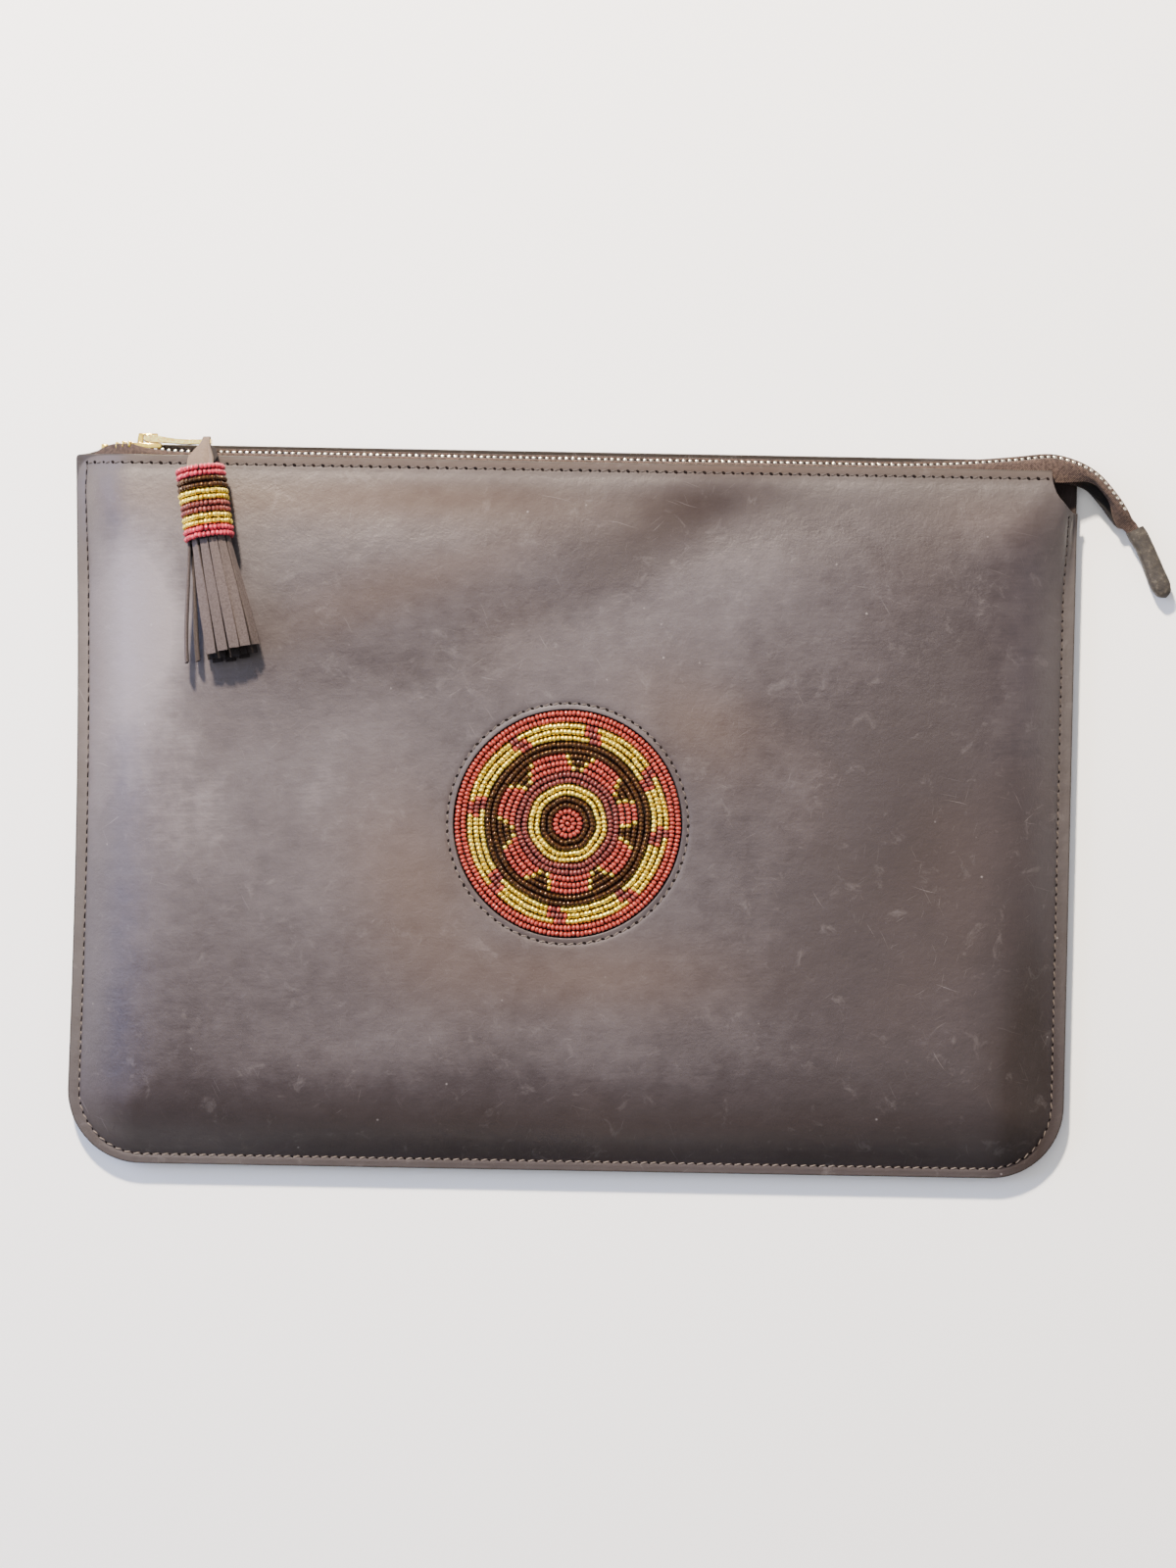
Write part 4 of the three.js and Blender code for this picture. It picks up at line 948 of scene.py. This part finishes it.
def waxedLeather():
    # waxed pull-up cowhide: cloudy grey-brown, warm and worn toward the edges, with fine scratches and flecks, and
    # with painted shade and a painted highlight from the wax tone patches
    material, tree = startMaterial("waxedPullUpLeather")
    spot = addNode(tree, "TexCoord", {}, {}).outputs["Object"]
    clouds = addNode(tree, "TexNoise", {"Scale": grain(45), "Detail": 4, "Roughness": 0.55}, {"Vector": spot})
    mottle = addNode(tree, "TexNoise", {"Scale": grain(7), "Detail": 6, "Roughness": 0.62}, {"Vector": spot})
    waxAndShade = addNode(tree, "Attribute", {"attribute_name": "waxTone"}, {}).outputs["Fac"]
    along = {"vector_type": "TEXTURE", "Rotation": (0, 0, 0.06), "Scale": (1, 0.1, 1)}
    brushed = addNode(tree, "Mapping", along, {"Vector": spot})
    streak = addNode(tree, "TexNoise", {"Scale": grain(10), "Detail": 5, "Roughness": 0.65}, {"Vector": brushed})
    tone = addNode(tree, "Math", {"operation": "MULTIPLY_ADD", 1: 0.5, 2: 0.16}, {0: clouds})
    tone = addNode(tree, "Math", {"operation": "MULTIPLY_ADD", 1: 0.22}, {0: mottle, 2: tone})
    tone = addNode(tree, "Math", {"operation": "MULTIPLY_ADD", 1: 0.16}, {0: streak, 2: tone})
    # the wax tone patches bring in painted shade and a painted highlight along with the wax
    tone = addNode(tree, "Math", {"operation": "ADD"}, {0: tone, 1: waxAndShade})
    stops = [(0.1, "#19100e"), (0.45, "#292223"), (0.75, "#474142"), (1, "#6e6768")]
    base = addNode(tree, "ValToRGB", {"stops": stops}, {0: tone})
    slow = {"noise_dimensions": "4D", "Scale": grain(60), "Detail": 2, "W": 3}
    drift = addNode(tree, "TexNoise", slow, {"Vector": spot})
    tan = addNode(tree, "Attribute", {"attribute_name": "warmTone"}, {}).outputs["Fac"]
    warm = addNode(tree, "MapRange", {1: 0.52, 2: 0.72, 3: 0.0, 4: 0.08}, {0: drift})
    warm = addNode(tree, "Math", {"operation": "ADD"}, {0: warm, 1: tan})
    inset = addNode(tree, "Attribute", {"attribute_name": "edgeInset"}, {}).outputs["Fac"]
    worn = addNode(tree, "MapRange", {1: 2.0, 2: 18.0, 3: 0.6, 4: 0.0}, {0: inset})
    # the worn paling is kept off the dark wax patches and the painted shade
    clearOfWaxAndShade = addNode(tree, "Math", {"operation": "MULTIPLY_ADD", 1: 3.0, 2: 1.0, "use_clamp": True}, {0: waxAndShade})
    worn = addNode(tree, "Math", {"operation": "MULTIPLY"}, {0: worn, 1: clearOfWaxAndShade})
    # the dark cut edge is partly burnished edge dye and partly painted shade along the edges
    burnishedAndShadedEdge = addNode(tree, "MapRange", {1: 0.15, 2: 0.6, 3: 0.7, 4: 0.0}, {0: inset})
    shine = addNode(tree, "MapRange", {1: 0.15, 2: 0.6, 3: 0.25, 4: 0.5}, {0: inset})
    # short pale scratches: long thin noise at a few slants, kept only where it peaks in the more handled places
    sway = addNode(tree, "TexNoise", {"Scale": grain(16), "Detail": 1}, {"Vector": spot}).outputs["Color"]
    bent = addNode(tree, "VectorMath", {"operation": "MULTIPLY_ADD", 1: (0.004, 0.004, 0)}, {0: sway, 2: spot})
    marks = None
    for degrees, size in ((35, 12), (-62, 17), (78, 9), (-14, 22)):
        laid = {"vector_type": "TEXTURE", "Rotation": (0, 0, math.radians(degrees)), "Scale": (1, 0.03, 1)}
        turned = addNode(tree, "Mapping", laid, {"Vector": bent})
        thin = addNode(tree, "TexNoise", {"Scale": grain(size), "Detail": 1}, {"Vector": turned})
        line = addNode(tree, "MapRange", {1: 0.75, 2: 0.82, 3: 0.0, 4: 1.0}, {0: thin})
        marks = addNode(tree, "Math", {"operation": "MAXIMUM"}, {0: line, 1: marks}) if marks else line
    specks = addNode(tree, "TexVoronoi", {"Scale": grain(13), "Randomness": 1}, {"Vector": spot}).outputs["Distance"]
    fleck = addNode(tree, "MapRange", {1: 0.012, 2: 0.04, 3: 0.38, 4: 0.0}, {0: specks})
    ragged = {"Scale": grain(8), "Detail": 7, "Roughness": 0.72, "Distortion": 0.6}
    smears = addNode(tree, "TexNoise", ragged, {"Vector": bent})
    smear = addNode(tree, "MapRange", {1: 0.58, 2: 0.8, 3: 0.0, 4: 0.16}, {0: smears})
    fleck = addNode(tree, "Math", {"operation": "MAXIMUM"}, {0: fleck, 1: smear})
    handled = addNode(tree, "MapRange", {1: 0.42, 2: 0.62, 3: 0.04, 4: 0.2}, {0: drift})
    rubbed = addNode(tree, "Math", {"operation": "MULTIPLY_ADD"}, {0: marks, 1: handled, 2: fleck})
    # tan under the wax, worn flanges, burnished rims darkened further as painted shade on the cut edges, and pale
    # marks lie over each other in that order
    for colour, share in (("#4c3a2c", warm), ("#45403b", worn), ("#1e1b14", burnishedAndShadedEdge), ("#978f8d", rubbed)):
        base = addNode(tree, "Mix", {"data_type": "RGBA", 7: linearColor(colour)}, {0: share, 6: base}).outputs[2]
    pores = addNode(tree, "TexNoise", {"Scale": grain(0.9), "Detail": 3, "Roughness": 0.6}, {"Vector": spot})
    bump = addNode(tree, "Bump", {"Strength": 0.3, "Distance": 0.0002}, {"Height": pores})
    dented = addNode(tree, "Bump", {"Strength": 0.5, "Distance": 0.0006}, {"Height": mottle, "Normal": bump})
    rough = addNode(tree, "MapRange", {1: 0.3, 2: 0.7, 3: 0.42, 4: 0.56}, {0: mottle})
    dull = addNode(tree, "MapRange", {1: -0.1, 2: -0.5, 3: 0.0, 4: 0.4}, {0: waxAndShade})
    rough = addNode(tree, "Math", {"operation": "ADD"}, {0: rough, 1: dull})
    return endMaterial(material, {"IOR": 1.5, "Specular Tint": linearColor("#fff7f6")},
                       {"Base Color": base, "Roughness": rough, "Specular IOR Level": shine, "Normal": dented})


def cutLeather():
    # the flesh side of split cowhide: matte and fibrous, pale, with dark waxed edges; the strips behind and the
    # strap's back layer are darkened, partly as painted shade
    material, tree = startMaterial("cutTasselLeather")
    spot = addNode(tree, "TexCoord", {}, {}).outputs["Object"]
    fibre = addNode(tree, "TexNoise", {"Scale": grain(0.7), "Detail": 4, "Roughness": 0.7}, {"Vector": spot})
    flesh = addNode(tree, "ValToRGB", {"stops": [(0.3, "#3f3634"), (0.7, "#584e4b")]}, {0: fibre})
    side = addNode(tree, "Attribute", {"attribute_name": "fleshSide"}, {}).outputs["Fac"]
    base = addNode(tree, "Mix", {"data_type": "RGBA", 6: linearColor("#0e0907")}, {0: side, 7: flesh}).outputs[2]
    rubbed = addNode(tree, "MapRange", {1: 1.0, 2: 2.0, 3: 0.0, 4: 1.0}, {0: side})
    base = addNode(tree, "Mix", {"data_type": "RGBA", 7: linearColor("#7c6854")}, {0: rubbed, 6: base}).outputs[2]
    bump = addNode(tree, "Bump", {"Strength": 0.3, "Distance": 0.0002}, {"Height": fibre})
    return endMaterial(material, {"Roughness": 0.9, "Specular IOR Level": 0.25}, {"Base Color": base, "Normal": bump})


def wornTabLeather():
    # the folded end tab: handled until the wax has gone, olive brown and scuffed
    material, tree = startMaterial("wornTabLeather")
    spot = addNode(tree, "TexCoord", {}, {}).outputs["Object"]
    scuffs = addNode(tree, "TexNoise", {"Scale": grain(2.2), "Detail": 5, "Roughness": 0.7}, {"Vector": spot})
    base = addNode(tree, "ValToRGB", {"stops": [(0.3, "#150f0b"), (0.55, "#2b251d"), (0.75, "#574f44")]}, {0: scuffs})
    bump = addNode(tree, "Bump", {"Strength": 0.6, "Distance": 0.0005}, {"Height": scuffs})
    return endMaterial(material, {"Roughness": 0.7}, {"Base Color": base, "Normal": bump})


def glassBead(name, dark, light, settings):
    # pressed seed glass: a saturated body under a hard bright glaze, a little different from bead to bead
    material, tree = startMaterial(name)
    spot = addNode(tree, "TexCoord", {}, {}).outputs["Object"]
    vary = addNode(tree, "TexNoise", {"Scale": grain(1.6), "Detail": 1}, {"Vector": spot})
    base = addNode(tree, "ValToRGB", {"stops": [(0.35, dark), (0.65, light)]}, {0: vary})
    return endMaterial(material, settings, {"Base Color": base})


def polishedBrass(name, dark, light):
    # plated brass, polished, with hairline handling marks; the closed teeth's copy is nearly white and the tab's copy
    # paler, painted highlights
    material, tree = startMaterial(name)
    spot = addNode(tree, "TexCoord", {}, {}).outputs["Object"]
    marks = addNode(tree, "TexNoise", {"Scale": grain(0.6), "Detail": 3}, {"Vector": spot})
    base = addNode(tree, "ValToRGB", {"stops": [(0.3, dark), (0.7, light)]}, {0: marks})
    rough = addNode(tree, "MapRange", {1: 0.3, 2: 0.7, 3: 0.12, 4: 0.2}, {0: marks})
    return endMaterial(material, {"Metallic": 1.0}, {"Base Color": base, "Roughness": rough})


def wovenTape():
    # herringbone zip tape in brown polyester: fine diagonal ribs, dull, a reddish cast, with painted shade inside the
    # tail's curl
    material, tree = startMaterial("wovenZipTape")
    spot = addNode(tree, "TexCoord", {}, {}).outputs["Object"]
    turned = addNode(tree, "Mapping", {"Rotation": (0, 0, math.radians(45))}, {"Vector": spot})
    ribs = addNode(tree, "TexWave", {"Scale": grain(0.8) / (2 * math.pi) * 3, "Distortion": 0.4}, {"Vector": turned})
    dust = addNode(tree, "TexNoise", {"Scale": grain(0.8), "Detail": 2}, {"Vector": spot})
    shade = addNode(tree, "Attribute", {"attribute_name": "foldShade"}, {}).outputs["Fac"]
    tone = addNode(tree, "Math", {"operation": "MULTIPLY_ADD", 1: 0.5}, {0: ribs.outputs["Fac"], 2: dust})
    tone = addNode(tree, "Math", {"operation": "SUBTRACT"}, {0: tone, 1: shade})
    stops = [(0.0, "#050303"), (0.45, "#190f0c"), (0.85, "#38281f"), (1, "#5c483d")]
    base = addNode(tree, "ValToRGB", {"stops": stops}, {0: tone})
    bump = addNode(tree, "Bump", {"Strength": 0.6, "Distance": 0.0002}, {"Height": ribs.outputs["Fac"]})
    return endMaterial(material, {"Roughness": 0.9}, {"Base Color": base, "Normal": bump})


def waxedThread():
    # bonded thread: dark on the top seam, rubbed pale toward the bottom one
    material, tree = startMaterial("waxedThread")
    spot = addNode(tree, "TexCoord", {}, {}).outputs["Object"]
    height = addNode(tree, "SeparateXYZ", {}, {0: spot}).outputs["Y"]
    twist = addNode(tree, "TexNoise", {"Scale": grain(0.5), "Detail": 2}, {"Vector": spot})
    pale = addNode(tree, "MapRange", {1: -0.12, 2: 0.1, 3: 0.75, 4: 0.1}, {0: height})
    tone = addNode(tree, "Math", {"operation": "MULTIPLY_ADD", 1: 0.3}, {0: twist, 2: pale})
    base = addNode(tree, "ValToRGB", {"stops": [(0.1, "#1d1411"), (0.9, "#665a50")]}, {0: tone})
    return endMaterial(material, {"Roughness": 0.7}, {"Base Color": base})


def paintedHoleShade():
    # painted shade: a dark spot set into the leather's face for the shade inside a pricked hole
    material, tree = startMaterial("paintedHoleShade")
    spot = addNode(tree, "TexCoord", {}, {}).outputs["Object"]
    vary = addNode(tree, "TexNoise", {"Scale": grain(4), "Detail": 1}, {"Vector": spot})
    base = addNode(tree, "ValToRGB", {"stops": [(0.3, "#070404"), (0.7, "#140d0a")]}, {0: vary})
    return endMaterial(material, {"Roughness": 0.9, "Specular IOR Level": 0.1}, {"Base Color": base})


leatherSkin = waxedLeather()
cutSkin = cutLeather()
brass = polishedBrass("polishedPaleBrass", "#b9993e", "#d6ba60")
# painted highlight: the tab's brass is paler than the slider's
tabHighlightBrass = polishedBrass("paleTabHighlightBrass", "#c4a958", "#e6d08c")
# painted highlight: the closed teeth's metal is nearly white
toothHighlightMetal = polishedBrass("whiteToothHighlightMetal", "#d8cdb4", "#fbf4e2")
tabSkin = wornTabLeather()
tapeCloth = wovenTape()
threadSkin = waxedThread()
holeShadow = paintedHoleShade()
beadGlass = dict(
    red=glassBead("redLustreGlass", "#74231b", "#9a3b30", {"Roughness": 0.15, "IOR": 1.6, "Coat Weight": 0.3,
                                                           "Specular Tint": linearColor("#ffd2c4")}),
    gold=glassBead("goldLinedGlass", "#c6a21c", "#f9e468", {"Roughness": 0.2, "Metallic": 0.9}),
    brown=glassBead("bronzeBrownGlass", "#130804", "#281307", {"Roughness": 0.14, "IOR": 1.7, "Coat Weight": 0.2,
                                                              "Specular Tint": linearColor("#eaa860")}),
    plum=glassBead("plumGlass", "#4c1d1a", "#70352f", {"Roughness": 0.18, "IOR": 1.6,
                                                      "Specular Tint": linearColor("#ffd6d2")}),
)
collarRed = glassBead("raspberryGlass", "#851c2a", "#b03646", {"Roughness": 0.15, "IOR": 1.6, "Coat Weight": 0.3,
                                                               "Specular Tint": linearColor("#ffd0d0")})
print("materials mixed")


# putting the pieces on their bodies

dress(frontLeather, leatherSkin, "sleeve", ["front_panel"])
dress(backLeather, leatherSkin, "sleeve", ["back_panel"])
dress(seamThread, threadSkin, "sleeve")
dress(stitchHoleShadows, holeShadow, "sleeve")

for strung, body, node, label in [(medallionBeads(), "sleeve", "bead_medallion", "medallion"),
                                  (collarBeads(), "pull", "bead_collar", "collar")]:
    for colour in sorted(strung):
        origins, along, up = (np.array(part, float) for part in zip(*strung[colour]))
        glass = collarRed if (label, colour) == ("collar", "red") else beadGlass[colour]
        strungBeads(label + colour.title() + "Beads", colour, origins, along, up, glass, body, node)
        print(label, colour, "beads:", len(origins))

dress(tasselSkirt(), cutSkin, "pull", ["tassel_skirt"])
dress(tasselStrap(), cutSkin, "pull", ["tassel_strap"])
tapeFront = dress(zipTape("zipTapeFront", 1), tapeCloth, "sleeve", ["zip_tape_front"])
tapeBack = dress(zipTape("zipTapeBack", -1), tapeCloth, "sleeve", ["zip_tape_back"])
dress(zipTeeth(), toothHighlightMetal, "sleeve", ["zip_chain"])
dress(openTooth("openTeethFront", 1), brass, "sleeve", ["open_teeth_front"])
dress(openTooth("openTeethBack", -1), brass, "sleeve", ["open_teeth_back"])
dress(roundedStop("top_stop_front", "topStopFront"), brass, "sleeve", ["top_stop_front"])
dress(roundedStop("top_stop_back", "topStopBack"), brass, "sleeve", ["top_stop_back"])
dress(humpedSlider(), brass, "sleeve", ["slider_body"])
dress(curvedTab(), tabHighlightBrass, "pull", ["pull_tab"])
dress(tailTongue(), tabSkin, "sleeve", ["tail_tab"])

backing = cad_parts["bead_backing"]
backing.data.materials.clear()
backing.data.materials.append(cutSkin)
print("pieces dressed")


# stage: floor, lights and camera

stage = dict(floor=30.0, floorDrop=0.0002, horizon="#5d626b", zenith="#eef0f4", worldStrength=0.58)
lights = [  # name, place, size, power, colour
    ("sunSide", (-0.33, 1.23, 1.08), 0.14, 122, "#fff1df"),
    ("skyLeft", (-1.35, 0.35, 0.75), 1.2, 34, "#bacbff"),
    ("overhead", (-0.3, 0.35, 1.7), 1.2, 9, "#ffffff"),
    ("fillRight", (1.4, 0.1, 0.8), 1.2, 6, "#f4ecff"),
]
view = dict(centre=(5.6, 11.8), distance=1300, frameHeight=533.3, zipHeight=7, roll=1.04, tilt=2.0, sensor=36)

deselect()
bpy.ops.mesh.primitive_plane_add(size=stage["floor"], location=(0, 0, -stage["floorDrop"]))
floor = bpy.context.object
floor.name = "floor"
paper = startMaterial("paleFloor")[0]  # plain pale sheet, matte
floor.data.materials.append(endMaterial(paper, {"Base Color": linearColor("#f4f3f1"), "Roughness": 0.9}, {}))

for name, place, size, power, tone in lights:
    lamp = bpy.data.lights.new(name, "AREA")
    lamp.shape, lamp.size, lamp.energy, lamp.color = "DISK", size, power, linearColor(tone)[:3]
    holder = bpy.data.objects.new(name, lamp)
    holder.location = place
    holder.rotation_euler = (-Vector(place)).to_track_quat("-Z", "Y").to_euler()
    bpy.context.scene.collection.objects.link(holder)

world = bpy.data.worlds.new("softSky")
bpy.context.scene.world = world
world.use_nodes = True
sky = world.node_tree
sky.nodes.clear()
spot = addNode(sky, "TexCoord", {}, {}).outputs["Generated"]
height = addNode(sky, "SeparateXYZ", {}, {0: spot}).outputs["Z"]
glow = addNode(sky, "ValToRGB", {"stops": [(0.0, stage["horizon"]), (0.75, stage["zenith"])]}, {0: height})
light = addNode(sky, "Background", {"Strength": stage["worldStrength"]}, {"Color": glow})
addNode(sky, "OutputWorld", {}, {"Surface": light})

lens = bpy.data.cameras.new("photoCamera")
lens.sensor_width = view["sensor"]
lens.lens = view["sensor"] * view["distance"] / view["frameHeight"]
camera = bpy.data.objects.new("photoCamera", lens)
tilt, roll = math.radians(view["tilt"]), math.radians(view["roll"])
camera.rotation_euler = (-tilt, 0, roll)
back = camera.rotation_euler.to_matrix() @ Vector((0, 0, view["distance"]))
camera.location = (Vector((*view["centre"], view["zipHeight"])) + back) * mm
bpy.context.scene.collection.objects.link(camera)
bpy.context.scene.camera = camera
